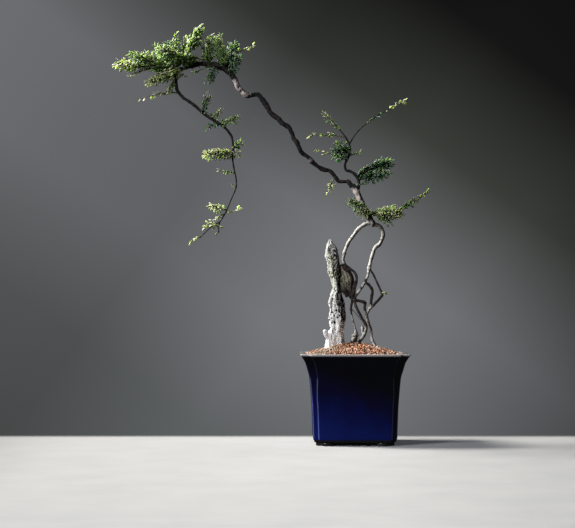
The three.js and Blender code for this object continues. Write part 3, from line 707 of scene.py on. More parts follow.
# %% Soil: baked clay
clay, tree = new_material("baked clay granules")
tone = add(tree, "ShaderNodeAttribute", {"attribute_name": "grain_tone"}).outputs["Fac"]
place = add(tree, "ShaderNodeTexCoord").outputs["Object"]
mottle = add(tree, "ShaderNodeTexNoise", links={
    "Vector": place, "Scale": 900, "Detail": 3}).outputs["Fac"]
blend = add(tree, "ShaderNodeMath", {"operation": "MULTIPLY_ADD"}, {0: mottle, 1: 0.22, 2: tone})
shifted = add(tree, "ShaderNodeMath", {"operation": "SUBTRACT"}, {0: blend.outputs[0], 1: 0.11})
fired = add(tree, "ShaderNodeValToRGB", {"stops": [
    (0.0, "#20120c"), (0.16, "#5c3422"), (0.36, "#a86645"), (0.60, "#c78c68"),
    (0.84, "#d9b697"), (0.95, "#efe4d8")]}, {"Fac": shifted.outputs[0]})
from_foot = add(tree, "ShaderNodeVectorMath", {"operation": "DISTANCE"}, {
    0: place, 1: to_frame((-50, -34, 128))}).outputs["Value"]
limed = add(tree, "ShaderNodeMapRange", {"interpolation_type": "SMOOTHSTEP"}, {
    "Value": from_foot, "From Min": 0.014, "From Max": 0.042, "To Min": 0.9, "To Max": 0})
clean = add(tree, "ShaderNodeMapRange", links={"Value": tone, "To Min": 0.45})
bleached = add(tree, "ShaderNodeMath", {"operation": "MULTIPLY"}, {0: limed, 1: clean})
dusted = add(tree, "ShaderNodeMix", {"data_type": "RGBA"}, {0: bleached, 6: fired,
    7: linear("#b9ad98")})
dust = add(tree, "ShaderNodeBump", links={
    "Strength": 0.5, "Distance": 0.0004, "Height": mottle}).outputs[0]
matt = add(tree, "ShaderNodeBsdfPrincipled", links={
    "Base Color": dusted, "Roughness": 0.92, "Specular IOR Level": 0.25, "Normal": dust})
add(tree, "ShaderNodeOutputMaterial", links={"Surface": matt})

grains = new_piece("soil_granules", [], [])
grains.data = bed.data.copy()
run_nodes(grains, scatter, {
    "Stones": stones, "Apart": 0.00205, "Smallest": 0.0021, "Largest": 0.0041,
    "Lowest": 0.1225, "Seed": 3, "Material": clay})
grains.data.shade_flat()

damp, tree = new_material("damp clay bed")
place = add(tree, "ShaderNodeTexCoord").outputs["Object"]
crumbs = add(tree, "ShaderNodeTexVoronoi", links={"Vector": place, "Scale": 480})
earth = add(tree, "ShaderNodeValToRGB", {"stops": [(0.0, "#7a4a30"), (0.5, "#3a2217")]}, {
    "Fac": crumbs.outputs["Distance"]})
lumps = add(tree, "ShaderNodeBump", {"invert": True}, {
    "Strength": 0.8, "Distance": 0.001, "Height": crumbs.outputs["Distance"]}).outputs[0]
wet = add(tree, "ShaderNodeBsdfPrincipled", links={
    "Base Color": earth, "Roughness": 0.95, "Normal": lumps})
add(tree, "ShaderNodeOutputMaterial", links={"Surface": wet})
dress(bed, damp, "granules", "soil")
dress(grains, clay, "granules")
print("granules cover", [round(v, 3) for v in grains.dimensions], "m")

# %% [markdown]
# ## The wood
#
# A limb of wood follows a line, gets thinner along it, and flows into the limb that it grew from.
# Each limb is a list of points with a radius. Most of these lists are the CAD's own; the trunk,
# the crown branch and the hump of the left stem are thinner here, and the trunk has small kinks
# that the CAD leaves out. The limbs could be curves with a bevel, but then every fork would show a
# hard seam. Instead all limbs are swept as tubes and merged by a voxel remesh, which makes one
# skin, and a light smoothing rounds the forks as bark does.

# %% Limbs of the crown and the trunk
# x, y, z and radius in millimetres from the pot's middle
TRUNK = [
    (28, 1, 304, 3.0), (25, 0, 309, 4.3), (17, -1, 323, 4.5), (9, -2, 340, 4.2),
    (2, -1, 354, 4.5), (-5, 0, 362, 3.5), (-9, 1, 366, 3.1), (-19, 2, 366, 2.7),
    (-23, 3, 368, 2.7), (-26, 3, 373, 2.7), (-34, 3, 381, 2.7), (-39, 2, 382, 3.2),
    (-45, 2, 384, 3.3), (-53, 0, 389, 2.9), (-57, 0, 392, 3.7), (-60, -1, 395, 3.9),
    (-63, -2, 399, 2.9), (-70, -2, 404, 2.7), (-74, -3, 407, 3.1), (-76, -4, 412, 3.3),
    (-81, -4, 422, 3.4), (-84, -3, 425, 3.0), (-87, -2, 434, 3.0), (-92, -1, 442, 3.4),
    (-101, 0, 448, 3.5), (-105, 1, 453, 3.7), (-117, 3, 463, 3.5), (-122, 4, 472, 3.8),
    (-129, 4, 482, 3.7), (-135, 3, 488, 3.2), (-145, 2, 487, 3.4), (-150, 1, 487, 4.0),
    (-161, 0, 496, 3.7), (-165, 0, 505, 3.9), (-170, 0, 514, 4.1), (-177, 1, 522, 4.5)]
CROWN_BRANCH = [
    (-172, 1, 517, 4.4), (-184, 2, 526, 4.6), (-199, 2, 530, 4.2), (-214, 1, 531, 3.6),
    (-229, 0, 527, 3.0), (-243, -1, 523, 2.7), (-258, -2, 520, 2.1), (-276, -4, 522, 1.7),
    (-295, -6, 526, 1.2)]
CASCADE_BRANCH = [
    (-243, -1, 524, 2.4), (-250, -3, 516, 2.7), (-249, -5, 505, 2.5), (-247, -6, 493, 2.4),
    (-239, -7, 483, 2.3), (-226, -8, 474, 2.3), (-210, -9, 460, 2.1), (-193, -9, 449, 2.2),
    (-180, -8, 440, 1.9), (-171, -7, 428, 1.7), (-169, -6, 414, 1.5), (-170, -5, 400, 1.4),
    (-168, -4, 385, 1.2), (-165, -4, 370, 1.1), (-165, -4, 357, 1.1), (-172, -5, 340, 1.0),
    (-180, -6, 321, 1.0), (-188, -7, 307, 0.9), (-189, -7, 293, 0.7)]
CASCADE_TIP_TWIG = [
    (-187, -7, 309, 0.9), (-197, -8, 304, 0.9), (-206, -9, 296, 0.8), (-216, -10, 286, 0.7)]
MIDDLE_BRANCH = [
    (4, 0, 352, 2.6), (7, 4, 362, 2.4), (5, 6, 372, 2.3), (-3, 7, 380, 2.1), (-11, 7, 383, 2.0),
    (-12, 6, 391, 1.8), (-8, 5, 400, 1.7), (-5, 4, 413, 1.5), (-9, 4, 424, 1.3),
    (-18, 5, 437, 1.0), (-30, 6, 451, 0.8)]
RIGHT_MIDDLE_TWIG = [
    (5, 6, 368, 1.7), (16, 4, 372, 1.5), (30, 2, 378, 1.3), (44, 0, 385, 1.0)]
LONG_SHOOT = [
    (-6, 4, 419, 1.1), (2, 3, 432, 1.0), (11, 1, 442, 1.0), (22, 0, 451, 0.9),
    (33, -1, 459, 0.9), (50, -2, 467, 0.8), (62, -3, 475, 0.7)]
RIGHT_BRANCH = [
    (15, -1, 327, 2.4), (24, -3, 321, 2.2), (38, -5, 318, 2.0), (52, -6, 320, 1.7),
    (66, -6, 327, 1.4), (82, -5, 337, 1.1), (97, -4, 346, 0.8)]
UPPER_LIMBS = [TRUNK, CROWN_BRANCH, CASCADE_BRANCH, CASCADE_TIP_TWIG, MIDDLE_BRANCH,
               RIGHT_MIDDLE_TWIG, LONG_SHOOT, RIGHT_BRANCH]
print("upper limbs:", len(UPPER_LIMBS))

# %% [markdown]
# Below the trunk two thin stems stand on roots that were washed bare. The roots cross each other
# and go into the soil at different places, so each has its own list. The last lists are small
# things that the CAD leaves out.

# %% Stems and roots
LEFT_STEM = [
    (27, 0, 309, 2.8), (16, -1, 306, 2.7), (7, -2, 300, 2.6), (0, -2, 291, 2.6),
    (-7, -2, 281, 2.4), (-12, -2, 270, 2.4), (-15, -1, 258, 2.4), (-12, 0, 249, 2.2),
    (-4, 1, 243, 1.9), (2, 1, 237, 1.9), (4, 0, 229, 2.1), (1, -1, 219, 2.6), (-1, -1, 207, 3.0)]
RIGHT_STEM = [
    (29, 1, 306, 2.9), (35, 2, 304, 2.8), (40, 3, 298, 2.7), (41, 3, 289, 2.6),
    (36, 2, 278, 2.6), (30, 1, 273, 2.6), (26, 0, 263, 2.5), (23, 0, 253, 2.6), (21, 0, 243, 2.8)]
LEFT_ROOT = [
    (21, 0, 244, 2.0), (19, -2, 233, 1.9), (13, -4, 221, 1.8), (7, -5, 212, 1.8),
    (1, -5, 202, 2.0), (3, -5, 191, 2.1), (9, -5, 178, 2.0), (16, -4, 166, 2.1),
    (17, -3, 158, 2.2), (12, -2, 148, 2.6), (4, -1, 138, 3.0), (-3, 0, 124, 2.4)]
RIGHT_ROOT = [
    (21, 0, 244, 1.8), (27, 2, 236, 1.5), (32, 3, 226, 1.4), (37, 4, 215, 1.6),
    (40, 4, 208, 2.2), (36, 4, 202, 2.0), (28, 4, 193, 2.0), (22, 4, 188, 2.4),
    (18, 4, 180, 2.2), (20, 4, 170, 2.1), (24, 3, 158, 1.9), (25, 2, 147, 2.0),
    (29, 2, 137, 2.4), (35, 2, 124, 2.0)]
MIDDLE_ROOT = [
    (15, -4, 225, 1.6), (21, -1, 221, 2.0), (26, 2, 213, 2.1), (25, 3, 204, 2.0),
    (24, 4, 196, 2.0), (24, 4, 188, 2.0)]
STUB_ROOT = [
    (1, -5, 200, 2.2), (9, -3, 198, 2.3), (15, -1, 196, 2.3), (15, 1, 188, 1.9),
    (17, 3, 180, 1.6)]
REAR_ROOT = [
    (-1, -1, 209, 2.6), (-3, 1, 196, 1.8), (-4, 3, 186, 1.5), (-2, 4, 175, 1.3),
    (1, 5, 164, 1.3), (3, 5, 155, 2.4), (2, 5, 149, 3.8), (-1, 4, 140, 4.4), (-5, 4, 126, 2.6)]
ROOT_CROWN = [
    (-19, 5, 247, 5.0), (-13, 5, 240, 7.5), (-9, 4, 231, 9.0), (-7, 3, 221, 7.5),
    (-4, 2, 211, 5.0), (-4, 1, 203, 3.0)]
LOWER_LIMBS = [LEFT_STEM, RIGHT_STEM, LEFT_ROOT, RIGHT_ROOT, MIDDLE_ROOT, STUB_ROOT, REAR_ROOT,
               ROOT_CROWN]

# Small things seen among the roots that the CAD leaves out: one faint strand, two lumps that
# stand on roots and are painted pale on their lit side, and the lobe that fills the root crown up
# to the column
FAINT_STRAND = [(-2, 3, 186, 0.8), (2, 3, 182, 0.6), (6, 2, 177, 0.6), (10, 0, 172, 0.8)]
PAINTED_PALE_LUMPS = [[(12, 1, 164, 1.2), (12, 1, 160, 2.2), (12, 0, 155, 1.8), (13, -2, 150, 1.8)],
              [(-2, 2, 150, 1.8), (2, 2, 151, 2.6), (6, 2, 150, 1.8)]]
ROOT_LOBE = [(-17, 4, 236, 3.5), (-16, 3, 226, 4.6), (-13, 2, 215, 4.8), (-9, 1, 205, 3.2)]
LOWER_LIMBS += [FAINT_STRAND, *PAINTED_PALE_LUMPS, ROOT_LOBE]
print("lower limbs:", len(LOWER_LIMBS))

# %% [markdown]
# A swept tube needs a ring of points at each step that doesn't twist. The ring's side vector is
# carried from step to step, and only the part that still lies across the line is kept. Old wood is
# never an even pipe, so the radius swells and shrinks a little along the way.

# %% Directions along a limb
def directions(places):
    """For each step of a line, the way along it and two sides that don't twist."""
    along = np.gradient(places, axis=0)
    along /= np.linalg.norm(along, axis=1)[:, None]
    side = np.cross(along[0], (0.1, 1.0, 0.2))
    sides = []
    for direction in along:
        side = side - direction * (side @ direction)
        side /= np.linalg.norm(side)
        sides.append(side)
    sides = np.array(sides)
    return along, sides, np.cross(along, sides)


print("steps along the trunk:", len(directions(smooth_line(TRUNK, 1.0)[:, :3])[0]))

# %% [markdown]
# The tube itself is one ring of points for each step, joined to the next ring, with a shallow cone
# at either end that closes it.

# %% Sweep a limb
TUBE_SIDES = 14


def swept(route, swell, seed):
    """A limb's points and faces, and for each step its place, directions, radius and distance."""
    rows = smooth_line(route, 1.0)
    places = rows[:, :3]
    along, sides, ups = directions(places)
    run = np.concatenate([[0], np.cumsum(np.linalg.norm(np.diff(places, axis=0), axis=1))])
    lumps = np.array([noise.noise(Vector((d / 7, seed * 9.1, 0))) for d in run])
    lumps += 0.5 * np.array([noise.noise(Vector((d / 3, seed * 4.7, 8))) for d in run])
    radii = rows[:, 3] * (1 + swell * lumps)
    turns = np.linspace(0, math.tau, TUBE_SIDES, endpoint=False)
    ring = np.cos(turns)[None, :, None] * sides[:, None, :]
    ring = ring + np.sin(turns)[None, :, None] * ups[:, None, :]
    points = (places[:, None, :] + radii[:, None, None] * ring).reshape(-1, 3)
    ends = [places[0] - along[0] * radii[0] * 0.6, places[-1] + along[-1] * radii[-1] * 0.6]
    points = np.concatenate([points, ends])
    steps, n = len(places), TUBE_SIDES
    faces = [(s * n + i, s * n + (i + 1) % n, (s + 1) * n + (i + 1) % n, (s + 1) * n + i)
             for s in range(steps - 1) for i in range(n)]
    faces += [((i + 1) % n, i, steps * n) for i in range(n)]
    last = (steps - 1) * n
    faces += [(last + i, last + (i + 1) % n, steps * n + 1) for i in range(n)]
    return points, faces, (places, along, sides, ups, radii, run)


def joined(parts):
    """Several (points, faces) as one."""
    points, faces = [], []
    for part_points, part_faces in parts:
        first = len(points)
        points += [tuple(p) for p in part_points]
        faces += [tuple(first + i for i in face) for face in part_faces]
    return points, faces


print("points in the trunk's tube:", len(swept(TRUNK, 0, 0)[0]))

# %% [markdown]
# Bark and deadwood are rough at every scale. The coarse part has to be real geometry, or the
# outline stays smooth. After the remesh each point is pushed along its normal by a relief that
# runs with the grain: for every point the nearest step of the nearest limb is found, and the noise
# is read in that step's own directions, stretched along the limb. How deep a point lies is stored
# with it, and the finish darkens the cracks by it as painted shade.

# %% Drop the specks
SPECK = 50  # points: a remesh leaves such crumbs in narrow gaps


def loose_parts(work):
    """The parts of a mesh that no edge joins, each a list of points, the largest last."""
    seen, parts = set(), []
    for first in work.verts:
        if first.index in seen:
            continue
        seen.add(first.index)
        part, queue = [], [first]
        while queue:
            point = queue.pop()
            part.append(point)
            for edge in point.link_edges:
                other = edge.other_vert(point)
                if other.index not in seen:
                    seen.add(other.index)
                    queue.append(other)
        parts.append(part)
    return sorted(parts, key=len)


def drop_specks(piece):
    """Deletes the crumbs beside a skin, and says how many larger parts are left."""
    work = bmesh.new()
    work.from_mesh(piece.data)
    work.verts.index_update()
    parts = loose_parts(work)
    crumbs = [part for part in parts if len(part) < SPECK]
    bmesh.ops.delete(work, geom=[point for part in crumbs for point in part], context="VERTS")
    work.to_mesh(piece.data)
    work.free()
    print(piece.name, "specks dropped:", len(crumbs), "parts left:", len(parts) - len(crumbs))


print("a speck has fewer than", SPECK, "points")

# %% [markdown]
# The remesh itself turns the swept tubes into one skin. Every limb has to reach another one, or it
# would float beside the skin, so the number of parts left is printed for each piece.

# %% Merge the limbs
def merge(piece, voxel, rounds):
    """One skin over all closed shells of a piece, lightly smoothed."""
    remesh = piece.modifiers.new("one skin", "REMESH")
    remesh.mode = "VOXEL"
    remesh.voxel_size = voxel * MM
    soften = piece.modifiers.new("soften", "SMOOTH")
    soften.factor = 0.5
    soften.iterations = rounds
    settle(piece)
    drop_specks(piece)


print("limbs to merge:", len(UPPER_LIMBS), "above and", len(LOWER_LIMBS), "below")

# %% [markdown]
# A relief that follows the grain needs to know, for each point of the skin, which limb it belongs to
# and how far round and along that limb it lies. A kd-tree finds the nearest step quickly.

# %% Find the grain
def grain_places(piece, limbs):
    """For each point, its place in the nearest limb's directions, its radius and its number."""
    steps = [np.concatenate(columns) for columns in zip(*limbs)]
    where, along, sides, ups, radii, run = steps
    limb_number = np.concatenate([[i] * len(limb[5]) for i, limb in enumerate(limbs)])
    run = run + 500 * limb_number
    tree = kdtree.KDTree(len(where))
    for i, p in enumerate(where):
        tree.insert(p, i)
    tree.balance()
    found = []
    for vertex in piece.data.vertices:
        point = (vertex.co - pot_middle) / MM
        _, i, _ = tree.find(point)
        off = np.array(point) - where[i]
        found.append((off @ sides[i], off @ ups[i], run[i] + off @ along[i], radii[i],
                      limb_number[i]))
    return found


print("limbs to find the grain of:", len(UPPER_LIMBS + LOWER_LIMBS))

# %% [markdown]
# The carving itself moves each point along its normal, and keeps how deep it went, which the
# finish turns into painted shade. The bark's relief is short fissures and knobs; on the root crown
# it is long fibres.

# %% Carve the relief
FISSURE_SHARE, FISSURE_MOST = 0.11, 0.5  # of the limb's radius, and in millimetres


def carve(piece, reliefs):
    """Pushes each point along its normal by (offset in millimetres, painted shade from 0 to 1)."""
    hollow = []
    normals = [v.normal.copy() for v in piece.data.vertices]
    for vertex, normal, (push, depth) in zip(piece.data.vertices, normals, reliefs):
        vertex.co += normal * push * MM
        hollow.append(depth)
    made = piece.data.attributes.new("hollow", "FLOAT", "POINT")
    made.data.foreach_set("value", hollow)
    piece.data.shade_smooth()
    piece.data.update()


def crack(place, width):
    """0 in a crack of the noise and 1 away from it."""
    return min(abs(noise.noise(place)) / width, 1)


def bark_relief(a, b, run, radius, fibrous):
    """Short fissures along the limb and knobs across it; long fibres on the root crown."""
    if fibrous:
        fibres = Vector((a / 1.9, b / 1.9, run / 22))
        split = crack(fibres, 0.3) * 0.6 + crack(fibres * 2.3, 0.3) * 0.4
        return 2.0 * (split - 0.8), 0.9 * (1 - split)
    grain = Vector((a / 1.5, b / 1.5, run / 5.5))
    fissure = crack(grain, 0.16) * 0.65 + crack(grain * 2.1, 0.2) * 0.35
    knob = noise.noise(Vector((a / 4.0, b / 4.0, run / 5.0)))
    depth = min(FISSURE_SHARE * radius, FISSURE_MOST)
    return depth * (fissure - 0.85) + 0.26 * radius * knob, 1 - fissure


print("deepest bark fissure:", FISSURE_MOST, "mm")

# %% [markdown]
# Painted light: where the lamp at the left falls full on the bark, it is painted ash-pink. Each
# place of painted light is a point with a reach, and only the side that faces the light from the
# left is painted pale there. A little noise makes its edge ragged.

# %% Where light is painted on the wood
# x, y, z, reach and strength of each place of painted light
PAINTED_LIGHT_PLACES = [(-163, -1, 500, 12, 1), (-152, -1, 489, 9, 1), (-60, -1, 396, 5, 0.7),
        (-13, 1, 374, 7, 0.5), (1, -1, 350, 9, 1.6), (7, -2, 341, 10, 1.3),
        (13, -1, 331, 10, 1.2)]
PAINTED_LIGHT_PLACES += [(x, y, z, 7, 0.55 if z > 286 else 1.2) for x, y, z, _ in RIGHT_STEM]
PAINTED_LIGHT_PLACES += [(x, y, z, 8, 1.1) for x, y, z, _ in LEFT_STEM if z > 250]
PAINTED_LIGHT_PLACES += [(x, y, z, 5, 1) for x, y, z, _ in LEFT_ROOT if z > 204]
PAINTED_LIGHT_PLACES += [(x, y, z, 7, 1.5) for x, y, z, _ in RIGHT_ROOT if z < 192]
PAINTED_LIGHT_PLACES += [(x, y, z, 6, 0.8) for x, y, z, _ in REAR_ROOT if 148 < z < 180]
PAINTED_LIGHT_PLACES += [(x, y, z, 4 * r, 0.9) for lump in PAINTED_PALE_LUMPS for x, y, z, r in lump]


def paint_lit_sides(piece):
    """Stores how much painted light each point gets: most on what faces the light at its places."""
    worn = []
    lit_side = Vector((-0.83, -0.45, 0.32))
    for vertex in piece.data.vertices:
        point = (vertex.co - pot_middle) / MM
        near = max(strength * min(2.5 * (1 - math.dist(point, place) / reach), 1)
                   for *place, reach, strength in PAINTED_LIGHT_PLACES)
        if near > 0:
            ragged = 0.35 * noise.noise(point / 2.5)
            near *= 1.3 * (vertex.normal @ lit_side) - 0.08 + ragged
        worn.append(min(max(near, 0), 1))
    piece.data.attributes.new("worn", "FLOAT", "POINT").data.foreach_set("value", worn)


def lit_crown_top(point, fibrous):
    """1 on the upper half of the fibrous root crown, painted pale as painted light, 0 elsewhere."""
    return min(max((point.z - 212) / 14, 0), 1) if fibrous else 0


print("worn places:", len(PAINTED_LIGHT_PLACES))

# %% [markdown]
# The limbs are swept, merged and carved in one function, once for the trunk with its branches and
# once for the stems with their roots.

# %% Make the wood
def grown_wood(name, routes, swell, voxel):
    """One piece of bark-covered wood from limb routes."""
    limbs = [swept(route, swell, seed) for seed, route in enumerate(routes)]
    piece = new_piece(name, *joined([limb[:2] for limb in limbs]))
    merge(piece, voxel, 3)
    places = grain_places(piece, [limb[2] for limb in limbs])
    fibrous = [routes[place[-1]] in (ROOT_CROWN, ROOT_LOBE) for place in places]
    # Painted light: the root crown's upper half is painted pale; the attribute named fibrous holds
    # it
    pale = [lit_crown_top((v.co - pot_middle) / MM, f)
            for v, f in zip(piece.data.vertices, fibrous)]
    carve(piece, [bark_relief(*place[:-1], f) for place, f in zip(places, fibrous)])
    paint_lit_sides(piece)
    piece.data.attributes.new("fibrous", "FLOAT", "POINT").data.foreach_set("value", pale)
    return piece


upper_wood = grown_wood("trunk_and_branches", UPPER_LIMBS, 0.10, 0.52)
lower_wood = grown_wood("stems_and_roots", LOWER_LIMBS, 0.12, 0.5)
print("wood:", len(upper_wood.data.vertices), "and", len(lower_wood.data.vertices), "points")

# %% [markdown]
# ### The bark's finish
#
# Old Berchemia bark is thin, hard and brown-grey. It is painted almost black in its cracks, as
# painted shade, and the trunk's bark is painted nearly black all over, partly as painted shade
# where the lamp only grazes the trunk. Knobs and left sides that face the lamp are painted
# ash-pink, as painted light, and so is the top of the root crown, in pale olive. Exposed roots are
# paler, because their bark is younger and is washed at every watering. One tree of nodes serves
# both, with different colours.

# %% Bark
def bark(name, stops, crevice, ridge, bare_foot_and_lit_bark="#e6d6cd"):
    """Bark in a range of colours, with painted shade in its cracks and painted light on lit sides.
    """
    made, tree = new_material(name)
    place = add(tree, "ShaderNodeTexCoord").outputs["Object"]
    patches = add(tree, "ShaderNodeTexNoise", links={
        "Vector": place, "Scale": 130, "Detail": 5, "Roughness": 0.62}).outputs["Fac"]
    # Painted light: the upper half of the root crown is painted pale olive grey
    fibre = add(tree, "ShaderNodeAttribute", {"attribute_name": "fibrous"}).outputs["Fac"]
    ash = add(tree, "ShaderNodeValToRGB", {"stops": stops}, {"Fac": patches})
    skin = add(tree, "ShaderNodeMix", {"data_type": "RGBA"}, {
        0: fibre, 6: ash, 7: linear("#a5a188")})
    # Painted shade: cracks are painted near black by how deep they lie
    painted_shade_amount = add(tree, "ShaderNodeAttribute", {"attribute_name": "hollow"}).outputs["Fac"]
    dark = add(tree, "ShaderNodeMapRange", links={
        "Value": painted_shade_amount, "From Min": 0.15, "From Max": 0.75}).outputs[0]
    cracked = add(tree, "ShaderNodeMix", {"data_type": "RGBA"}, {0: dark, 6: skin,
        7: linear(crevice)})
    fleck = add(tree, "ShaderNodeTexNoise", links={
        "Vector": place, "Scale": 520, "Detail": 4, "Roughness": 0.7}).outputs["Fac"]
    scale = add(tree, "ShaderNodeMapRange", links={
        "Value": fleck, "From Min": 0.56, "From Max": 0.72, "To Max": 0.7}).outputs[0]
    flecked = add(tree, "ShaderNodeMix", {"data_type": "RGBA"}, {0: scale, 6: cracked,
        7: linear(ridge)})
    # Painted light: ash-pink where the lit side faces the lamp at the places of painted light
    worn = add(tree, "ShaderNodeAttribute", {"attribute_name": "worn"}).outputs["Fac"]
    colour = add(tree, "ShaderNodeMix", {"data_type": "RGBA"}, {0: worn, 6: flecked,
        7: linear(bare_foot_and_lit_bark)})
    rough = add(tree, "ShaderNodeBump", links={
        "Strength": 0.7, "Distance": 0.0006, "Height": fleck}).outputs[0]
    dry = add(tree, "ShaderNodeBsdfPrincipled", links={
        "Base Color": colour, "Roughness": 0.82, "Specular IOR Level": 0.35, "Normal": rough})
    add(tree, "ShaderNodeOutputMaterial", links={"Surface": dry})
    return made


# The trunk's bark is nearly black, partly as painted shade; the roots' bark is paler
trunk_bark = bark("weathered trunk bark", [
    (0.30, "#100d0b"), (0.50, "#1f1a17"), (0.66, "#332b27"), (0.82, "#5c514a")],
    "#070504", "#544a43")
root_bark = bark("washed root bark", [
    (0.28, "#1d1613"), (0.46, "#352b26"), (0.62, "#524740"), (0.80, "#857a70")],
    "#0e0a08", "#7d726a", "#ece6da")
dress(upper_wood, trunk_bark, "bark", "trunk", "crown_branch", "cascade_branch", "middle_branch",
      "right_middle_twig", "long_shoot", "right_branch")
dress(lower_wood, root_bark, "bark", "left_stem", "right_stem", "left_root", "right_root",
      "rear_root", "root_crown")


print("bark finishes:", trunk_bark.name, "and", root_bark.name)

# %% [markdown]
# ## The deadwood column
#
# The column is a stump that rotted and was bleached: its soft wood is gone and the hard grain
# stands in twisted ridges, with pits between them. A copy of the CAD solid gives its shape. The
# remesh gives it enough points, and three reliefs carve it: deep flutes along the grain, cracks,
# and round pits. All cut inwards, so that the outline stays where it was measured.

# %% Deadwood column
column = new_piece("deadwood", [], [])
column.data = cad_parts["deadwood_column"].data.copy()
column.data.name = "deadwood"
tidy_faces(column)
merge(column, 0.66, 5)


KNOB_EDGE, KNOB_TOP = -34.5, 165  # left of and below these lies the sound knob


def deadwood_relief(point):
    """Flutes, cracks and pits along the slowly twisting grain, and the shade painted on them."""
    x, y, z = point
    if x < KNOB_EDGE and z < KNOB_TOP:
        return 0.5 + 0.5 * noise.noise(point / 3), 0
    above_foot = min(max((z - 164) / 16, 0), 1)
    # Painted shade: the column's right side above its foot is painted dark, away from the light
    painted_right_shade = min(max((x + 24 + 0.07 * (z - 200)) / 5, 0), 1) * above_foot
    twist = z / 60
    x, y = x * math.cos(twist) - y * math.sin(twist), x * math.sin(twist) + y * math.cos(twist)
    wander = 2.5 * noise.noise(Vector((x, y, z)) / 14)
    grain = Vector(((x + wander) / 5.5, (y + wander) / 5.5, z / 30))
    flute = crack(grain, 0.26)
    fine = crack(grain * 2.6 + Vector((3, 1, 7)), 0.22)
    cells = noise.voronoi(Vector((x / 3.3, y / 3.3, z / 4.4)))[0]
    pit = min(max((0.45 - cells[0]) / 0.22, 0), 1)
    rotten = min(max(noise.noise(Vector((x, y, z)) / 9) * 3 + 1.1, 0), 1)
    sound_foot = min(max((z - 150) / 14, 0), 1)
    pit *= rotten * sound_foot
    knob = noise.noise(Vector((x / 5, y / 5, z / 6)))
    push = 1.3 * (flute - 1) + 0.6 * (fine - 1) - 1.5 * pit + 0.6 * knob
    hollow = 0.55 * (1 - flute) ** 1.5 + 0.22 * (1 - fine) + 1.0 * pit
    hollow = min(1, hollow * (0.6 + 0.4 * above_foot) + 0.6 * painted_right_shade)
    return push, hollow


carve(column, [deadwood_relief((v.co - pot_middle) / MM) for v in column.data.vertices])
print("column:", len(column.data.vertices), "points")

# %% [markdown]
# ### The deadwood's finish
#
# Bleached wood has lost its colour: silver-grey with a chalky surface. Cracks and pits are painted
# brown-black, and so is the column's right side: painted shade. A yellow-green crust of lichen
# grows half-way up, on the raised parts only. The foot is whitest, where lime from watering dries.
# The grain is drawn 1 mm wide, coarser than real, so that it shows.

# %% Silvered deadwood
silver, tree = new_material("bleached deadwood")
place = add(tree, "ShaderNodeTexCoord").outputs["Object"]
stretched = add(tree, "ShaderNodeMapping", links={"Vector": place, "Scale": (1, 1, 0.16)})
fibre = add(tree, "ShaderNodeTexNoise", links={
    "Vector": stretched.outputs[0], "Scale": 620, "Detail": 4, "Roughness": 0.65}).outputs["Fac"]
stain = add(tree, "ShaderNodeTexNoise", links={
    "Vector": place, "Scale": 95, "Detail": 5, "Roughness": 0.6}).outputs["Fac"]
level = add(tree, "ShaderNodeSeparateXYZ", links={0: place}).outputs["Z"]
wood = add(tree, "ShaderNodeValToRGB", {"stops": [
    (0.28, "#c4c2bd"), (0.5, "#e2e1dd"), (0.72, "#f5f4f1")]}, {"Fac": stain})
streaks = add(tree, "ShaderNodeValToRGB", {"stops": [
    (0.34, "#77746e"), (0.52, "#d9d8d4"), (0.7, "#f6f5f2")]}, {"Fac": fibre})
grainy = add(tree, "ShaderNodeMix", {"data_type": "RGBA", "blend_type": "MULTIPLY"}, {
    0: 0.55, 6: wood, 7: streaks}).outputs[2]
foot = add(tree, "ShaderNodeMapRange", links={
    "Value": level, "From Min": 0.198, "From Max": 0.150}).outputs[0]
limed = add(tree, "ShaderNodeMix", {"data_type": "RGBA"}, {0: foot, 6: grainy,
    7: linear("#f0efec")})
up_to = add(tree, "ShaderNodeMapRange", {"interpolation_type": "SMOOTHSTEP"}, {
    "Value": level, "From Min": 0.205, "From Max": 0.228}).outputs[0]
down_to = add(tree, "ShaderNodeMapRange", {"interpolation_type": "SMOOTHSTEP"}, {
    "Value": level, "From Min": 0.276, "From Max": 0.252}).outputs[0]
spots = add(tree, "ShaderNodeMapRange", links={
    "Value": stain, "From Min": 0.42, "From Max": 0.6, "To Max": 0.75}).outputs[0]
band = add(tree, "ShaderNodeMath", {"operation": "MULTIPLY"}, {0: up_to, 1: down_to})
crust = add(tree, "ShaderNodeMath", {"operation": "MULTIPLY"}, {0: band.outputs[0], 1: spots})
lichened = add(tree, "ShaderNodeMix", {"data_type": "RGBA"}, {0: crust.outputs[0], 6: limed,
    7: linear("#bfc398")})
# Painted shade: cracks, pits and the column's right side are painted brown-black
painted_shade_amount = add(tree, "ShaderNodeAttribute", {"attribute_name": "hollow"}).outputs["Fac"]
dark = add(tree, "ShaderNodeMapRange", links={
    "Value": painted_shade_amount, "From Min": 0.18, "From Max": 0.8}).outputs[0]
weathered_and_shaded = add(tree, "ShaderNodeMix", {"data_type": "RGBA"}, {0: dark, 6: lichened,
    7: linear("#1f1b17")})
raised = add(tree, "ShaderNodeBump", links={
    "Strength": 0.8, "Distance": 0.0008, "Height": fibre}).outputs[0]
add(tree, "ShaderNodeOutputMaterial", links={"Surface": add(tree, "ShaderNodeBsdfPrincipled",
    links={
    "Base Color": weathered_and_shaded, "Roughness": 0.88, "Specular IOR Level": 0.3, "Normal": raised})})
dress(column, silver, "deadwood", "deadwood_column")
print("nodes in the deadwood finish:", len(tree.nodes))

# %% [markdown]
# ## The sprays of leaves
#
# Berchemia lineata has small oval leaves, under a centimetre long here, set left and right in turn
# along fine twigs. The twigs branch in flat fans. The table gives each spray as the CAD does: its
# foot on the wood, its tip, its width from front to back, its thickness, and its tone.

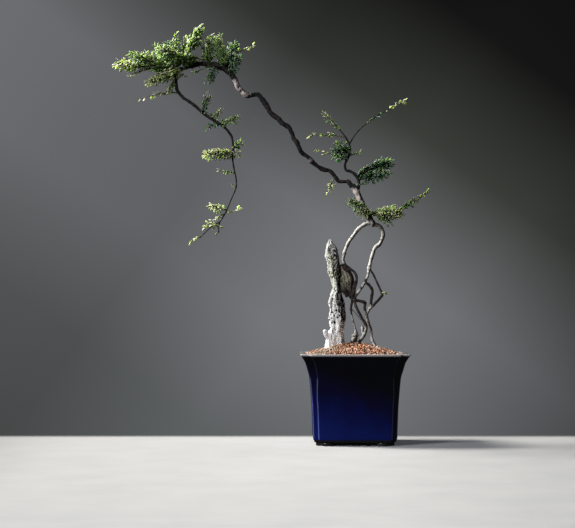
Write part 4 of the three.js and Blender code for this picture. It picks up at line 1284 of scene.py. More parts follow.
# %% Sprays
# The tone is partly painted light and shade: bright sprays are painted pale where the lamp lights
# them, and shade sprays dark inside the crown
SPRAYS = [
    ("crown_tip", (-290, -5, 524), (-336, -8, 530), 34, 20, "bright"),
    ("crown_left_front", (-262, -3, 520), (-316, -22, 546), 34, 25, "leaf"),
    ("crown_left_back", (-254, -1, 521), (-308, 22, 552), 36, 25, "leaf"),
    ("crown_front", (-226, -1, 528), (-274, -34, 548), 38, 27, "leaf"),
    ("crown_back", (-220, 3, 530), (-272, 36, 552), 40, 27, "shade"),
    ("crown_top", (-237, -3, 525), (-213, -8, 585), 38, 22, "leaf"),
    ("crown_middle", (-247, 1, 522), (-263, 5, 564), 40, 25, "shade"),
    ("crown_peak", (-203, 3, 532), (-199, 7, 572), 30, 22, "leaf"),
    ("crown_right_front", (-182, -2, 526), (-192, -18, 568), 28, 20, "leaf"),
    ("crown_right_back", (-178, 4, 523), (-166, 22, 566), 30, 20, "shade"),
    ("crown_right_low", (-172, -1, 516), (-160, -14, 543), 24, 17, "shade"),
    ("crown_shoot", (-172, 13, 544), (-138, 6, 558), 12, 6, "bright"),
    ("crown_under", (-192, -1, 527), (-205, -20, 500), 22, 15, "shade"),
    ("crown_low", (-240, -2, 520), (-292, -12, 502), 46, 18, "bright"),
    ("crown_hanging", (-249, -4, 508), (-262, -12, 486), 24, 14, "bright"),
    ("crown_left_shoot", (-245, -6, 490), (-301, -16, 479), 14, 8, "bright"),
    ("cascade_start", (-212, -9, 460), (-201, -4, 487), 18, 13, "shade"),
    ("cascade_elbow", (-186, -8, 444), (-157, -14, 457), 24, 14, "leaf"),
    ("cascade_inner", (-190, -9, 447), (-208, -20, 437), 18, 12, "shade"),
    ("cascade_pad", (-169, -5, 404), (-213, -14, 403), 36, 21, "bright"),
    ("cascade_outer", (-169, -5, 412), (-153, 2, 424), 20, 13, "leaf"),
    ("cascade_thin", (-167, -4, 377), (-193, -10, 381), 13, 8, "leaf"),
    ("cascade_low", (-178, -6, 325), (-206, -14, 332), 22, 15, "bright"),
    ("cascade_low_outer", (-179, -6, 322), (-156, 0, 328), 12, 7, "bright"),
    ("cascade_end", (-189, -7, 302), (-208, -2, 309), 18, 13, "bright"),
    ("cascade_tip", (-212, -10, 290), (-232, -13, 278), 11, 8, "bright"),
    ("middle", (-6, 4, 408), (-34, -6, 409), 34, 32, "shade"),
    ("middle_top", (-16, 5, 434), (-45, 8, 464), 18, 13, "leaf"),
    ("middle_left", (-12, 5, 428), (-64, -2, 431), 14, 8, "leaf"),
    ("right_middle_low", (12, 4, 371), (52, -16, 377), 32, 19, "shade"),
    ("right_middle_high", (5, 7, 374), (58, 15, 396), 34, 21, "shade"),
    ("shoot_tip", (50, -2, 467), (75, -4, 481), 11, 6, "bright"),
    ("hanging", (-27, 1, 371), (-37, -9, 346), 16, 12, "bright"),
    ("right_inner", (18, -2, 326), (-13, -16, 340), 26, 18, "leaf"),
    ("right_joint", (22, -4, 322), (4, -22, 321), 26, 18, "bright"),
    ("right_low", (36, -5, 318), (52, -24, 307), 28, 18, "leaf"),
    ("right_front", (26, -3, 320), (70, -26, 320), 34, 22, "bright"),
    ("right_back", (30, -4, 319), (68, 18, 325), 36, 22, "leaf"),
    ("right_outer", (64, -6, 326), (93, -8, 344), 24, 13, "leaf"),
    ("right_tip", (92, -4, 343), (116, -6, 357), 13, 8, "bright")]
TONES = ("bright", "leaf", "shade")
print("sprays:", len(SPRAYS), {tone: sum(s[5] == tone for s in SPRAYS) for tone in TONES})

# %% [markdown]
# Besides the sprays there are small sprigs and single leaves that stand out at the outline. They are
# too small for the CAD. Each starts near a limb or a twig of a row above it, and is seated on it
# when it is grown.

# %% Sprigs
# Bright sprigs carry painted light: pale leaves where the lamp lights them
SPRIGS = [
    ((-243, 3, 535), (-231, 2, 573), 24, 17, "leaf"),  # between the crown's two peaks
    ((-255, 2, 533), (-246, 3, 570), 26, 17, "leaf"),
    ((-262, 0, 530), (-280, -6, 560), 26, 16, "leaf"),
    ((14, 2, 382), (44, 0, 399), 20, 14, "shade"),  # above the right middle twig
    ((6, 1, 360), (48, -2, 377), 12, 6, "shade"),  # below it
    ((-213, -6, 466), (-204, -10, 490), 14, 12, "leaf"),  # along the cascade
    ((-200, -8, 450), (-182, -12, 468), 14, 10, "leaf"),
    ((-299, 17, 546), (-301, 17, 559), 7, 5, "bright"),  # upright, at the crown's left
    ((-258, 4, 551), (-247, 3, 578), 8, 6, "bright"),  # above the crown
    ((-284, -5, 523), (-321, -8, 511), 8, 6, "bright"),  # below the crown's tip
    ((-249, -5, 506), (-235, -11, 517), 14, 12, "leaf"),  # in the fork of the cascade
    ((-199, -2, 527), (-224, -17, 514), 14, 9, "leaf"),  # under the crown branch
    ((-165, -4, 358), (-175, -6, 360), 8, 6, "bright"),  # on the cascade
    ((-10, 6, 396), (-58, -6, 410), 7, 5, "bright"),  # left of the middle spray
    ((-8, 5, 400), (13, 2, 409), 8, 5, "leaf"),  # right of the middle branch
    ((14, 1, 445), (48, -2, 466), 8, 5, "shade"),  # along the long shoot
    ((-205, 1, 533), (-213, -2, 561), 16, 12, "leaf"),  # between the peak and the right pad
    ((-262, -7, 519), (-232, -12, 544), 9, 6, "bright"),  # over the crown branch
    ((-203, -6, 534), (-234, -12, 541), 9, 6, "bright"),
    ((-222, -2, 548), (-213, -4, 570), 16, 10, "leaf"),  # between the peak and the right lobe
    ((-171, -5, 408), (-155, -8, 402), 16, 13, "bright"),  # the pad's end beyond the cascade
    ((-180, -6, 321), (-197, -9, 309), 14, 10, "bright"),  # below the cascade's low sprays
    ((-200, -8, 301), (-214, -9, 302), 12, 8, "bright"),
    ((-189, -7, 297), (-194, -8, 285), 9, 7, "bright"),
    ((-214, -8, 464), (-196, -12, 457), 10, 8, "shade"),
    ((-196, -15, 560), (-184, -16, 571), 9, 6, "bright"),  # pale tips at the crown's right
    ((-205, -3, 560), (-196, -5, 574), 9, 6, "bright"),
    ((-204, -5, 478), (-202, -6, 491), 8, 6, "bright"),  # single pale leaves
    ((-193, -9, 449), (-187, -12, 467), 8, 6, "bright"),
    ((-176, -10, 448), (-169, -12, 457), 7, 5, "bright"),
    ((-172, -10, 450), (-162, -13, 446), 7, 5, "bright"),
    ((-262, -11, 489), (-278, -13, 488), 8, 6, "bright"),
    ((-216, -14, 519), (-227, -17, 517), 7, 5, "bright"),
    ((-56, -1, 430), (-67, -3, 425), 7, 5, "bright"),
    ((-28, 2, 431), (-38, 0, 433), 7, 5, "bright"),
    ((-14, 3, 421), (-25, 1, 422), 8, 6, "bright"),
    ((40, 4, 208), (53, 2, 211), 9, 6, "bright")]  # at the right root's elbow
print("sprigs:", len(SPRIGS))

# %% [markdown]
# Each spray gets a main twig, and many side twigs that leave it and end all through the spray's
# egg-shaped space. The ends turn round the main twig by the golden angle, which is how most
# shoots space their buds, and it fills the space evenly. A twig is only a line of points here,
# with its radius, the size of its leaves and the direction that its leaves face. The node trees
# turn those lines into wood and leaves.

# %% Grow the twigs
# Where the wall behind shows between the sprays: x, z and reach
GAPS = [(-225, 547, 6), (-325, 558, 18), (-307, 561, 19), (-291, 572, 16), (-337, 546, 8),
        (-243, 527, 7), (-231, 529, 5)]
# Sprays that bear fewer leaves than others of their width
SPARSE = {"middle_top": 0.5, "middle_left": 0.4, "middle": 0.75, "crown_shoot": 0.5,
          "shoot_tip": 0.8, "cascade_thin": 0.8}
LEAF_LENGTH = 8.0  # millimetres
TWIG_SPACE = 250  # cubic millimetres of a spray that one side twig fills
GOLDEN_ANGLE = math.pi * (3 - math.sqrt(5))
print("gaps kept open:", len(GAPS))

# %% [markdown]
# A twig's points and what each point knows are kept in one list of lines.

# %% Lines for the twigs
class Twigs:
    """Lines of points that will be twigs, with what each point knows."""

    def __init__(self):
        self.points, self.edges, self.up = [], [], []
        self.radius, self.leaf, self.leafy, self.young = [], [], [], []

    def add(self, line, radius, leaf, up, leafy, old_end, young_end):
        first = len(self.points)
        for i, point in enumerate(line):
            share = i / (len(line) - 1)
            self.points.append(point)
            self.radius.append(radius * (1 - 0.6 * share))
            self.leaf.append(leaf * (1 - 0.2 * share))
            self.leafy.append(leafy * (0.5 + 0.5 * share))
            self.young.append(old_end + (young_end - old_end) * share)
            self.up.append(up)
            if i:
                self.edges.append((first + i - 1, first + i))


print("values kept for each twig point:", len(vars(Twigs())) - 1)

# %% [markdown]
# A side twig bows a little and wanders. None ends where the wall behind has to show.

# %% The line of a side twig
def in_gap(point):
    """Whether the wall behind has to show at a point."""
    return any(math.dist((point.x, point.z), (x, z)) < reach for x, z, reach in GAPS)


def side_line(start, end, off, up):
    """Five points from a side twig's start to its end."""
    line = []
    for i in range(5):
        part = i / 4
        bow = up * (0.10 * off.length * math.sin(math.pi * part))
        sway = noise.noise_vector(start / 4 + off * part) * 0.6 * part
        line.append(start.lerp(end, part) + bow + sway)
    return line


print("the first gap's middle is kept free:", in_gap(Vector((GAPS[0][0], 0, GAPS[0][1]))))

# %% [markdown]
# One function grows one spray: first its main twig, then the side twigs that fill its space.

# %% Grow one spray
def grow_spray(twigs, foot, tip, width, thickness, leafy, draw):
    """Fills one spray's space with twigs."""
    foot, tip = Vector(foot), Vector(tip)
    axis = (tip - foot).normalized()
    across = (Vector((0, 1, 0)) - axis * axis.y).normalized()
    up = axis.cross(across)
    if up.z < 0:
        up = -up
    length = (tip - foot).length
    leaf = LEAF_LENGTH
    reach_end = length - leaf * 0.6

    def main(t):
        sway = 0.04 * length * math.sin(math.pi * t)
        wobble = noise.noise_vector(foot / 10 + Vector((t * 2.2, 0, 0))) * 1.4 * t
        return foot + axis * (reach_end * t) + up * sway + wobble

    last = 1.0
    while in_gap(main(last)):
        last -= 0.05
    twigs.add([main(t * last) for t in np.linspace(0, 1, 9)], 0.7, leaf, up, leafy, 0.5, 1)
    volume = math.pi / 6 * length * width * thickness
    count = max(int(length / 4), round(volume / TWIG_SPACE))
    half_width = max(width / 2 - leaf * 0.35, 1.5)
    half_thick = max(thickness / 2 - leaf * 0.3, 1.0)
    for number in range(count):
        share = (number + draw.random()) / count
        t = 0.10 + 0.90 * share
        full = math.sin(math.pi * min(max(0.06 + 0.86 * t, 0), 1)) ** 0.55
        far = math.sqrt(draw.uniform(0.15, 1))
        turn = number * GOLDEN_ANGLE
        off = (across * math.cos(turn) * half_width + up * math.sin(turn) * half_thick) * full * far
        end = foot + axis * (reach_end * t) + off
        start = main(max(0.02, min(t - 0.10 - 0.6 * off.length / length, last)))
        line = side_line(start, end, off, up)
        face = (up * 0.5 + Vector((-0.35, 0, 0.5)) + off.normalized() * 0.4
                + Vector([draw.uniform(-0.5, 0.5) for _ in range(3)])).normalized()
        size = leaf * draw.uniform(0.82, 1.06)
        if not in_gap(end):
            # Painted light as well as age: twigs on a spray's upper side get a paler tint, as if lit
            # from above; twigs nearer the tip are younger and paler
            height = math.sin(turn) * far * full if thickness > 9 else 0.3
            young = min(max(0.42 + 0.45 * height + 0.25 * (t - 0.5), 0), 1)
            twigs.add(line, 0.38, size, face, leafy, young - 0.15, young + 0.1)


print("one side twig fills", TWIG_SPACE, "cubic mm")

# %% [markdown]
# The tables place a foot to the nearest millimetre, which can leave it beside the wood in the air.
# So before a spray is grown, the gap from its foot to the wood's skin and to the twigs grown so far
# is measured. A foot that nothing carries is moved to whichever is nearer.

# %% Seat the feet
ON_WOOD = 0.1  # millimetres that a foot may stand off the wood's skin
ON_TWIG = 0.5  # millimetres that it may stand off a twig's middle line
INTO_WOOD = 0.5  # how deep a moved foot goes into the wood
groups = {tone: Twigs() for tone in TONES}
skins = [BVHTree.FromPolygons([v.co for v in wood.data.vertices],
                              [tuple(f.vertices) for f in wood.data.polygons])
         for wood in (upper_wood, lower_wood)]


def nearest_wood(foot):
    """The gap from a foot to the wood, below 0 inside it, and the place just under the skin."""
    found = []
    for skin in skins:
        place, normal, _, gap = skin.find_nearest(to_frame(foot))
        inside = (to_frame(foot) - place).dot(normal) < 0
        under = (place - pot_middle) / MM - normal.normalized() * INTO_WOOD
        found.append((-gap / MM if inside else gap / MM, under))
    return min(found, key=lambda gap_and_place: gap_and_place[0])


def nearest_twig(foot):
    """The gap from a foot to the nearest twig grown so far, and the place on its middle line."""
    ends = [(*twigs.points[a], *twigs.points[b])
            for twigs in groups.values() for a, b in twigs.edges]
    if not ends:
        return math.inf, foot
    start, end = np.hsplit(np.array(ends), 2)
    run = end - start
    share = ((np.array(foot) - start) * run).sum(1) / np.maximum((run ** 2).sum(1), 1e-9)
    places = start + np.clip(share, 0, 1)[:, None] * run
    gaps = np.linalg.norm(places - np.array(foot), axis=1)
    return gaps.min(), Vector(places[gaps.argmin()])


def seated(foot):
    """The foot itself where something carries it, or else the nearest place that does."""
    off_wood, under_skin = nearest_wood(foot)
    off_twig, on_twig = nearest_twig(foot)
    if off_wood <= ON_WOOD or off_twig <= ON_TWIG:
        return foot
    return under_skin if off_wood < off_twig else on_twig


print("the first spray's foot is", round(nearest_wood(Vector(SPRAYS[0][1]))[0], 2), "mm off")

# %% [markdown]
# All sprays are grown with one seeded generator, so the plant is the same each time.

# %% Grow all sprays
draw = random.Random(4)
noise.seed_set(11)  # without it, noise_vector takes its offsets from the clock
moved = 0
for name, foot, tip, width, thickness, tone in SPRAYS + [("sprig", *s) for s in SPRIGS]:
    thin = 0.62 if width < 15 else 1  # a thin spray bears its leaves further apart
    carried = seated(Vector(foot))
    moved += carried != Vector(foot)
    grow_spray(groups[tone], carried, tip, width, thickness, SPARSE.get(name, thin), draw)
print("feet moved:", moved, "twig points:", {tone: len(groups[tone].points) for tone in TONES})

# %% [markdown]
# One leaf is a thin closed shape: a short stalk, an oval blade with a fold along its midrib, and a
# tip that bends down. Three versions bend by different amounts. Its UV map runs across and along
# the blade, so that the finish can draw the midrib and the side veins.

# %% Leaf shapes
STATIONS = ((0.10, 0.035), (0.30, 0.25), (0.56, 0.29), (0.82, 0.17))
LEAF_BODY = 0.028  # half the blade's thickness at the midrib, for a leaf of length 1


def leaf_shape(name, fold, droop):
    """A leaf of length 1 along +X, facing +Z."""
    points = [(0, 0, 0)]
    uvs = [(0.5, 0)]
    for x, half in STATIONS:
        sag = -droop * x * x
        points += [(x, half, sag + fold * half), (x, 0, sag + LEAF_BODY),
                   (x, -half, sag + fold * half), (x, 0, sag - LEAF_BODY)]
        uvs += [(1, x), (0.5, x), (0, x), (0.5, x)]
    points.append((1, 0, -droop * 1.15))
    uvs.append((0.5, 1))
    faces = []
    for i in range(4):
        j = (i + 1) % 4
        faces.append((0, 1 + i, 1 + j))
        for s in range(len(STATIONS) - 1):
            low, high = 1 + 4 * s, 5 + 4 * s
            faces.append((low + i, high + i, high + j, low + j))
        last = 1 + 4 * (len(STATIONS) - 1)
        faces.append((last + j, last + i, len(points) - 1))
    mesh = bpy.data.meshes.new(name)
    mesh.from_pydata(points, [], faces)
    work = bmesh.new()
    work.from_mesh(mesh)
    bmesh.ops.recalc_face_normals(work, faces=work.faces)
    work.to_mesh(mesh)
    work.free()
    layer = mesh.uv_layers.new(name="blade")
    for loop in mesh.loops:
        layer.data[loop.index].uv = uvs[loop.vertex_index]
    mesh.shade_smooth()
    return bpy.data.objects.new(name, mesh)


leaf_shapes = bpy.data.collections.new("leaf shapes")
for index, (fold, droop) in enumerate(((0.35, 0.10), (0.15, 0.22), (0.5, 0.02))):
    leaf_shapes.objects.link(leaf_shape(f"leaf_{index}", fold, droop))


# %% [markdown]
# The leaf tree walks along every twig in steps of one leaf's distance. At each step it has the
# twig's direction and the direction that the leaves face. The leaf points forward and outwards,
# left and right in turn, and the last one straight ahead. A random roll and pitch keep the fans
# from looking combed.

# %% Leaves: the node tree
leafing, given, result = new_node_group("leaves along twigs", {
    "Leaves": "Collection", "Spacing": "Float", "Spread": "Float", "Lift": "Float",
    "Roll": "Float", "Seed": "Int", "Material": "Material"})


seeds = {start: add(leafing, "FunctionNodeIntegerMath", {"operation": "ADD"}, {
    0: given.outputs["Seed"], 1: start}) for start in range(11, 19)}
lines = add(leafing, "GeometryNodeMeshToCurve", links={"Mesh": given.outputs["Geometry"]})
steps = add(leafing, "GeometryNodeResampleCurve", {"mode": "LENGTH"}, {
    "Curve": lines.outputs[0], "Length": given.outputs["Spacing"]})
forward = add(leafing, "GeometryNodeInputTangent").outputs[0]
facing = add(leafing, "GeometryNodeInputNamedAttribute", {"data_type": "FLOAT_VECTOR"}, {
    "Name": "leaf_up"})
outward = add(leafing, "ShaderNodeVectorMath", {"operation": "CROSS_PRODUCT"}, {
    0: facing, 1: forward}).outputs[0]
step = add(leafing, "GeometryNodeSplineParameter")
odd = add(leafing, "ShaderNodeMath", {"operation": "MODULO"}, {0: step.outputs["Index"], 1: 2.0})
hand = add(leafing, "ShaderNodeMath", {"operation": "MULTIPLY_ADD"}, {0: odd, 1: 2.0, 2: -1.0})
not_last = add(leafing, "ShaderNodeMath", {"operation": "LESS_THAN"}, {0: step.outputs["Factor"],
    1: 0.98})
hand = add(leafing, "ShaderNodeMath", {"operation": "MULTIPLY"}, {0: hand, 1: not_last})
spread_now = add(leafing, "ShaderNodeMath", {"operation": "MULTIPLY"}, {
    0: given.outputs["Spread"], 1: add(leafing, "FunctionNodeRandomValue", {
        "data_type": "FLOAT"}, {2: 0.75, 3: 1.2, "Seed": seeds[11]})}).outputs[0]
ahead = add(leafing, "ShaderNodeVectorMath", {"operation": "SCALE"}, {0: forward,
    "Scale": add(leafing, "ShaderNodeMath", {"operation": "COSINE"}, {0: spread_now})})
aside = add(leafing, "ShaderNodeVectorMath", {"operation": "SCALE"}, {0: outward,
    "Scale": add(leafing, "ShaderNodeMath", {"operation": "MULTIPLY"}, {0: add(leafing,
    "ShaderNodeMath", {"operation": "SINE"}, {0: spread_now}), 1: hand})})
raised = add(leafing, "ShaderNodeVectorMath", {"operation": "SCALE"}, {0: facing,
    "Scale": add(leafing, "ShaderNodeMath", {"operation": "MULTIPLY"}, {0: given.outputs["Lift"],
    1: add(leafing, "FunctionNodeRandomValue", {"data_type": "FLOAT"}, {2: -0.5, 3: 1.5,
    "Seed": seeds[12]})})})
print("random numbers in the leaf tree:", len(seeds))

# %% [markdown]
# A leaf's direction is turned into a rotation: its length along the heading, its face towards the
# light, and a little roll, so that no two lie the same way.

# %% Leaves: turn each one
heading = add(leafing, "ShaderNodeVectorMath", {"operation": "ADD"}, {0: ahead, 1: aside})
heading = add(leafing, "ShaderNodeVectorMath", {"operation": "ADD"}, {
    0: heading.outputs[0], 1: raised}).outputs[0]
pointed = add(leafing, "FunctionNodeAlignRotationToVector", {"axis": "X"}, {"Vector": heading})
faced = add(leafing, "FunctionNodeAlignRotationToVector", {"axis": "Z", "pivot_axis": "X"}, {
    "Rotation": pointed.outputs[0], "Vector": facing})
roll = add(leafing, "ShaderNodeCombineXYZ", links={
    "X": add(leafing, "ShaderNodeMath", {"operation": "MULTIPLY"}, {0: given.outputs["Roll"],
        1: add(leafing, "FunctionNodeRandomValue", {"data_type": "FLOAT"}, {2: -1.0, 3: 1.0,
        "Seed": seeds[13]})}),
    "Y": add(leafing, "FunctionNodeRandomValue", {"data_type": "FLOAT"}, {2: -0.3, 3: 0.3,
        "Seed": seeds[14]}), "Z": add(leafing, "FunctionNodeRandomValue", {"data_type": "FLOAT"}, {
        2: -0.25, 3: 0.25, "Seed": seeds[15]})})
rolled = add(leafing, "FunctionNodeRotateRotation", {"rotation_space": "LOCAL"}, {
    "Rotation": faced.outputs[0],
    "Rotate By": add(leafing, "FunctionNodeEulerToRotation", links={
        0: roll.outputs[0]}).outputs[0]})
print("nodes so far:", len(leafing.nodes))

# %% [markdown]
# Last, each leaf gets a length and a tint, is placed, and is made real mesh with its finish.

# %% Leaves: place them
length = add(leafing, "ShaderNodeMath", {"operation": "MULTIPLY"}, {0: add(leafing,
    "GeometryNodeInputNamedAttribute", {"data_type": "FLOAT"}, {"Name": "leaf_length"}),
    1: add(leafing, "FunctionNodeRandomValue", {"data_type": "FLOAT"}, {2: 0.7, 3: 1.15,
    "Seed": seeds[16]})})
shapes = add(leafing, "GeometryNodeCollectionInfo", links={
    "Collection": given.outputs["Leaves"], "Separate Children": True, "Reset Children": True})
grows = add(leafing, "ShaderNodeMath", {"operation": "LESS_THAN"}, {0: add(leafing,
    "FunctionNodeRandomValue", {"data_type": "FLOAT"}, {2: 0.0, 3: 1.0, "Seed": seeds[18]}),
    1: add(leafing, "GeometryNodeInputNamedAttribute", {"data_type": "FLOAT"}, {
    "Name": "leafy"})})
tint = add(leafing, "ShaderNodeMath", {"operation": "ADD"}, {
    0: add(leafing, "GeometryNodeInputNamedAttribute", {"data_type": "FLOAT"}, {
        "Name": "young"}), 1: add(leafing, "FunctionNodeRandomValue", {"data_type": "FLOAT"}, {
        2: -0.2, 3: 0.22, "Seed": seeds[17]})})
tinted_points = add(leafing, "GeometryNodeStoreNamedAttribute", {"data_type": "FLOAT"}, {
    "Geometry": steps.outputs[0], "Name": "leaf_tint", "Value": tint})
placed = add(leafing, "GeometryNodeInstanceOnPoints", links={
    "Points": tinted_points.outputs[0], "Instance": shapes.outputs[0], "Pick Instance": True,
    "Selection": grows,
    "Rotation": rolled.outputs[0], "Scale": length})
real = add(leafing, "GeometryNodeRealizeInstances", links={"Geometry": placed.outputs[0]})
coated = add(leafing, "GeometryNodeSetMaterial", links={
    "Geometry": real.outputs[0], "Material": given.outputs["Material"]})
leafing.links.new(coated.outputs[0], result.inputs[0])
print("nodes in the leaf tree:", len(leafing.nodes))

# %% [markdown]
# The twig tree gives the same lines a round section, with the radius that each point stored.

# %% Twigs: the node tree
twigging, given, result = new_node_group("wood along twigs", {
    "Sides": "Int", "Material": "Material"})
lines = add(twigging, "GeometryNodeMeshToCurve", links={"Mesh": given.outputs["Geometry"]})
thick = add(twigging, "GeometryNodeSetCurveRadius", links={
    "Curve": lines.outputs[0], "Radius": add(twigging, "GeometryNodeInputNamedAttribute", {
        "data_type": "FLOAT"}, {"Name": "twig_radius"})})
section = add(twigging, "GeometryNodeCurvePrimitiveCircle", links={
    "Resolution": given.outputs["Sides"], "Radius": 1.0})
tubes = add(twigging, "GeometryNodeCurveToMesh", links={
    "Curve": thick.outputs[0], "Profile Curve": section.outputs[0],
    "Scale": add(twigging, "GeometryNodeInputNamedAttribute", {"data_type": "FLOAT"}, {
        "Name": "twig_radius"}), "Fill Caps": True})
real = add(twigging, "GeometryNodeRealizeInstances", links={"Geometry": tubes.outputs[0]})
coated = add(twigging, "GeometryNodeSetMaterial", links={
    "Geometry": real.outputs[0], "Material": given.outputs["Material"]})
twigging.links.new(coated.outputs[0], result.inputs[0])
print("nodes in the twig tree:", len(twigging.nodes))

# %% [markdown]
# ### The leaves' finish
#
# A Berchemia leaf is thin, leathery and half glossy, with a pale midrib and evenly curved side
# veins. Light from behind passes through it, which a little subsurface scattering gives to the
# closed blade. New leaves at the tips are yellow-green and older ones deep green, and painted light
# and shade come on top: sprays and upper twigs that the lamp lights are painted pale yellow-green,
# and sprays inside the crown, where shade falls, are painted dark blue-green. The veins are drawn
# wider than real ones, so that they show.

# %% Leaf finishes
def leaf_finish(name, stops, vein, glow):
    """A leaf in a range of greens, with its veins."""
    made, tree = new_material(name)
    tint = add(tree, "ShaderNodeAttribute", {"attribute_name": "leaf_tint"}).outputs["Fac"]
    blade = add(tree, "ShaderNodeUVMap", {"uv_map": "blade"}).outputs[0]
    axes = add(tree, "ShaderNodeSeparateXYZ", links={0: blade})
    from_rib = add(tree, "ShaderNodeMath", {"operation": "ABSOLUTE"}, {0: add(tree,
        "ShaderNodeMath", {"operation": "SUBTRACT"}, {0: axes.outputs["X"], 1: 0.5})})
    green = add(tree, "ShaderNodeValToRGB", {"stops": stops}, {"Fac": tint})
    rib = add(tree, "ShaderNodeMapRange", links={
        "Value": from_rib, "From Min": 0.03, "From Max": 0.09, "To Min": 0.8, "To Max": 0})
    slant = add(tree, "ShaderNodeMath", {"operation": "MULTIPLY"}, {0: from_rib, 1: -6.0})
    along = add(tree, "ShaderNodeMath", {"operation": "MULTIPLY"}, {0: axes.outputs["Y"], 1: 9.0})
    phase = add(tree, "ShaderNodeMath", {"operation": "FRACT"}, {0: add(tree, "ShaderNodeMath", {
        "operation": "ADD"}, {0: along, 1: slant})})
    line = add(tree, "ShaderNodeMath", {"operation": "ABSOLUTE"}, {0: add(tree, "ShaderNodeMath",
        {"operation": "SUBTRACT"}, {0: phase, 1: 0.5})})
    side_vein = add(tree, "ShaderNodeMapRange", links={
        "Value": line, "From Min": 0.02, "From Max": 0.14, "To Min": 0.35, "To Max": 0})
    veins = add(tree, "ShaderNodeMath", {"operation": "MAXIMUM"}, {0: rib.outputs[0],
        1: side_vein.outputs[0]})
    colour = add(tree, "ShaderNodeMix", {"data_type": "RGBA"}, {0: veins, 6: green,
        7: linear(vein)})
    relief = add(tree, "ShaderNodeBump", {"invert": True}, {
        "Strength": 0.35, "Distance": 0.0002, "Height": veins}).outputs[0]
    add(tree, "ShaderNodeOutputMaterial", links={"Surface": add(tree, "ShaderNodeBsdfPrincipled",
        links={
        "Base Color": colour, "Roughness": 0.58, "Normal": relief, "IOR": 1.45,
        "Specular IOR Level": 0.35, "Subsurface Weight": glow,
        "Subsurface Radius": (0.7, 1.0, 0.35), "Subsurface Scale": 0.002})})
    return made


# Lit and shaded copies of one leaf: besides age, the bright finish is painted light and the shade
# finish painted shade
leaf_finishes = {
    "bright": leaf_finish("young sunlit leaf", [
        (0.0, "#6f8548"), (0.4, "#98ac66"), (0.75, "#b9c58c"), (1.0, "#dde3c4")], "#c3cd9c", 0.8),
    "leaf": leaf_finish("full-grown leaf", [
        (0.0, "#3c5a34"), (0.4, "#64844c"), (0.75, "#8ca268"), (1.0, "#bdc9a0")],
        "#96aa74", 0.75),
    "shade": leaf_finish("old inner leaf", [
        (0.0, "#203a2c"), (0.45, "#36573f"), (0.8, "#557156"), (1.0, "#8fa288")], "#60795c", 0.6)}


print("leaf finishes:", [finish.name for finish in leaf_finishes.values()])

# %% [markdown]
# Each tone's twigs become one mesh of bare edges, whose points carry the radius, the leaf's length
# and the rest as attributes, and the leaf tree turns it into foliage. A last mesh holds the twigs
# of all tones, and the twig tree turns it into wood.

# %% Grow leaves and twigs
SLOTS = {"bright": "leaf_bright", "leaf": "leaf_green", "shade": "leaf_dark"}
twig_bark = bark("young twig bark", [
    (0.3, "#3a3322"), (0.5, "#574e35"), (0.7, "#7a7152"), (0.85, "#958b6c")],
    "#1b170f", "#a89f80")


def twig_lines(name, twigs):
    """The twig lines as a mesh of edges that knows each point's radius, leaf and direction."""
    piece = new_piece(name, twigs.points, [], twigs.edges)
    store = piece.data.attributes
    store.new("twig_radius", "FLOAT", "POINT").data.foreach_set(
        "value", [r * MM for r in twigs.radius])
    store.new("leaf_length", "FLOAT", "POINT").data.foreach_set(
        "value", [l * MM for l in twigs.leaf])
    store.new("leafy", "FLOAT", "POINT").data.foreach_set("value", twigs.leafy)
    store.new("young", "FLOAT", "POINT").data.foreach_set("value", twigs.young)
    store.new("leaf_up", "FLOAT_VECTOR", "POINT").data.foreach_set(
        "vector", [c for up in twigs.up for c in up])
    return piece


LEAF_SEED = 0
all_twigs = Twigs()
for tone in TONES:
    twigs = groups[tone]
    foliage = twig_lines("foliage_" + SLOTS[tone][5:], twigs)
    run_nodes(foliage, leafing, {
        "Leaves": leaf_shapes, "Spacing": 0.0031, "Spread": 0.95, "Lift": 0.22, "Roll": 0.55,
        "Seed": LEAF_SEED, "Material": leaf_finishes[tone]})
    dress(foliage, leaf_finishes[tone], SLOTS[tone],
          *["leaves_" + s[0] for s in SPRAYS if s[5] == tone])
    first = len(all_twigs.points)
    all_twigs.edges += [(first + a, first + b) for a, b in twigs.edges]
    for kept in ("points", "radius", "leaf", "leafy", "young", "up"):
        getattr(all_twigs, kept).extend(getattr(twigs, kept))

fine_twigs = twig_lines("fine_twigs", all_twigs)
run_nodes(fine_twigs, twigging, {"Sides": 5, "Material": twig_bark})
fine_twigs.data.shade_smooth()
dress(fine_twigs, twig_bark, "bark")
print("twig lines:", len(all_twigs.edges))

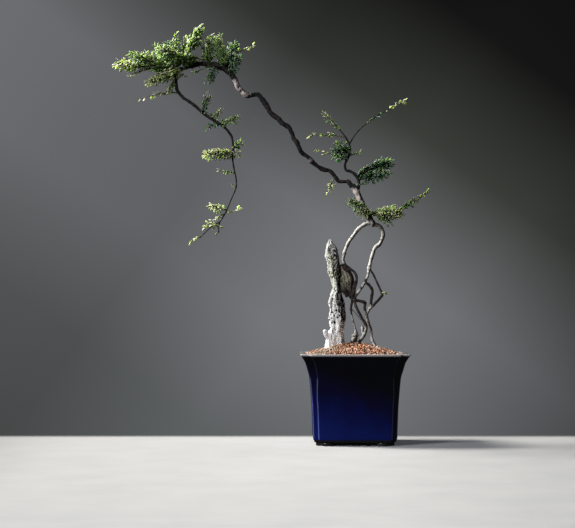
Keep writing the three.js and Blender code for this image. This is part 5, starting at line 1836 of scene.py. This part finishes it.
# %% [markdown]
# ## The drainage screen and its wire
#
# Nobody sees them once the pot is filled, but they are there: a black plastic mesh over the drain
# hole, held by a bent aluminium wire. Their CAD shapes are right as they are and only get a
# finish: moulded polyethylene with a faint grain, and drawn wire with lines along it.

# %% Screen and wire
mesh_plastic, tree = new_material("moulded polyethylene mesh")
place = add(tree, "ShaderNodeTexCoord").outputs["Object"]
grain = add(tree, "ShaderNodeTexNoise", links={
    "Vector": place, "Scale": 1500, "Detail": 2}).outputs["Fac"]
shade = add(tree, "ShaderNodeValToRGB", {"stops": [(0.35, "#1e1f20"), (0.65, "#2d2f31")]}, {
    "Fac": grain})
skin = add(tree, "ShaderNodeBump", links={"Strength": 0.3, "Distance": 0.0001, "Height": grain})
moulded = add(tree, "ShaderNodeBsdfPrincipled", links={
    "Base Color": shade, "Roughness": 0.55, "Normal": skin})
add(tree, "ShaderNodeOutputMaterial", links={"Surface": moulded})

drawn_wire, tree = new_material("brown anodised aluminium wire")
place = add(tree, "ShaderNodeTexCoord").outputs["Object"]
lengthwise = add(tree, "ShaderNodeMapping", links={"Vector": place, "Scale": (0.1, 1, 0.3)})
scratches = add(tree, "ShaderNodeTexNoise", links={
    "Vector": lengthwise.outputs[0], "Scale": 3000, "Detail": 2}).outputs["Fac"]
brown = add(tree, "ShaderNodeValToRGB", {"stops": [(0.3, "#6f6252"), (0.7, "#8f8271")]}, {
    "Fac": scratches})
drawn = add(tree, "ShaderNodeBump", links={
    "Strength": 0.2, "Distance": 0.00005, "Height": scratches})
metal = add(tree, "ShaderNodeBsdfPrincipled", links={
    "Base Color": brown, "Metallic": 1.0, "Roughness": 0.42, "Normal": drawn})
add(tree, "ShaderNodeOutputMaterial", links={"Surface": metal})

for node, material, slot in (("drainage_screen", mesh_plastic, "screen_plastic"),
                             ("screen_wire_clip", drawn_wire, "wire")):
    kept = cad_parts[node]
    kept.data.materials.clear()
    kept.data.materials.append(material)
print("kept CAD nodes:", mesh_plastic.users, "screen,", drawn_wire.users, "clip")

# %% [markdown]
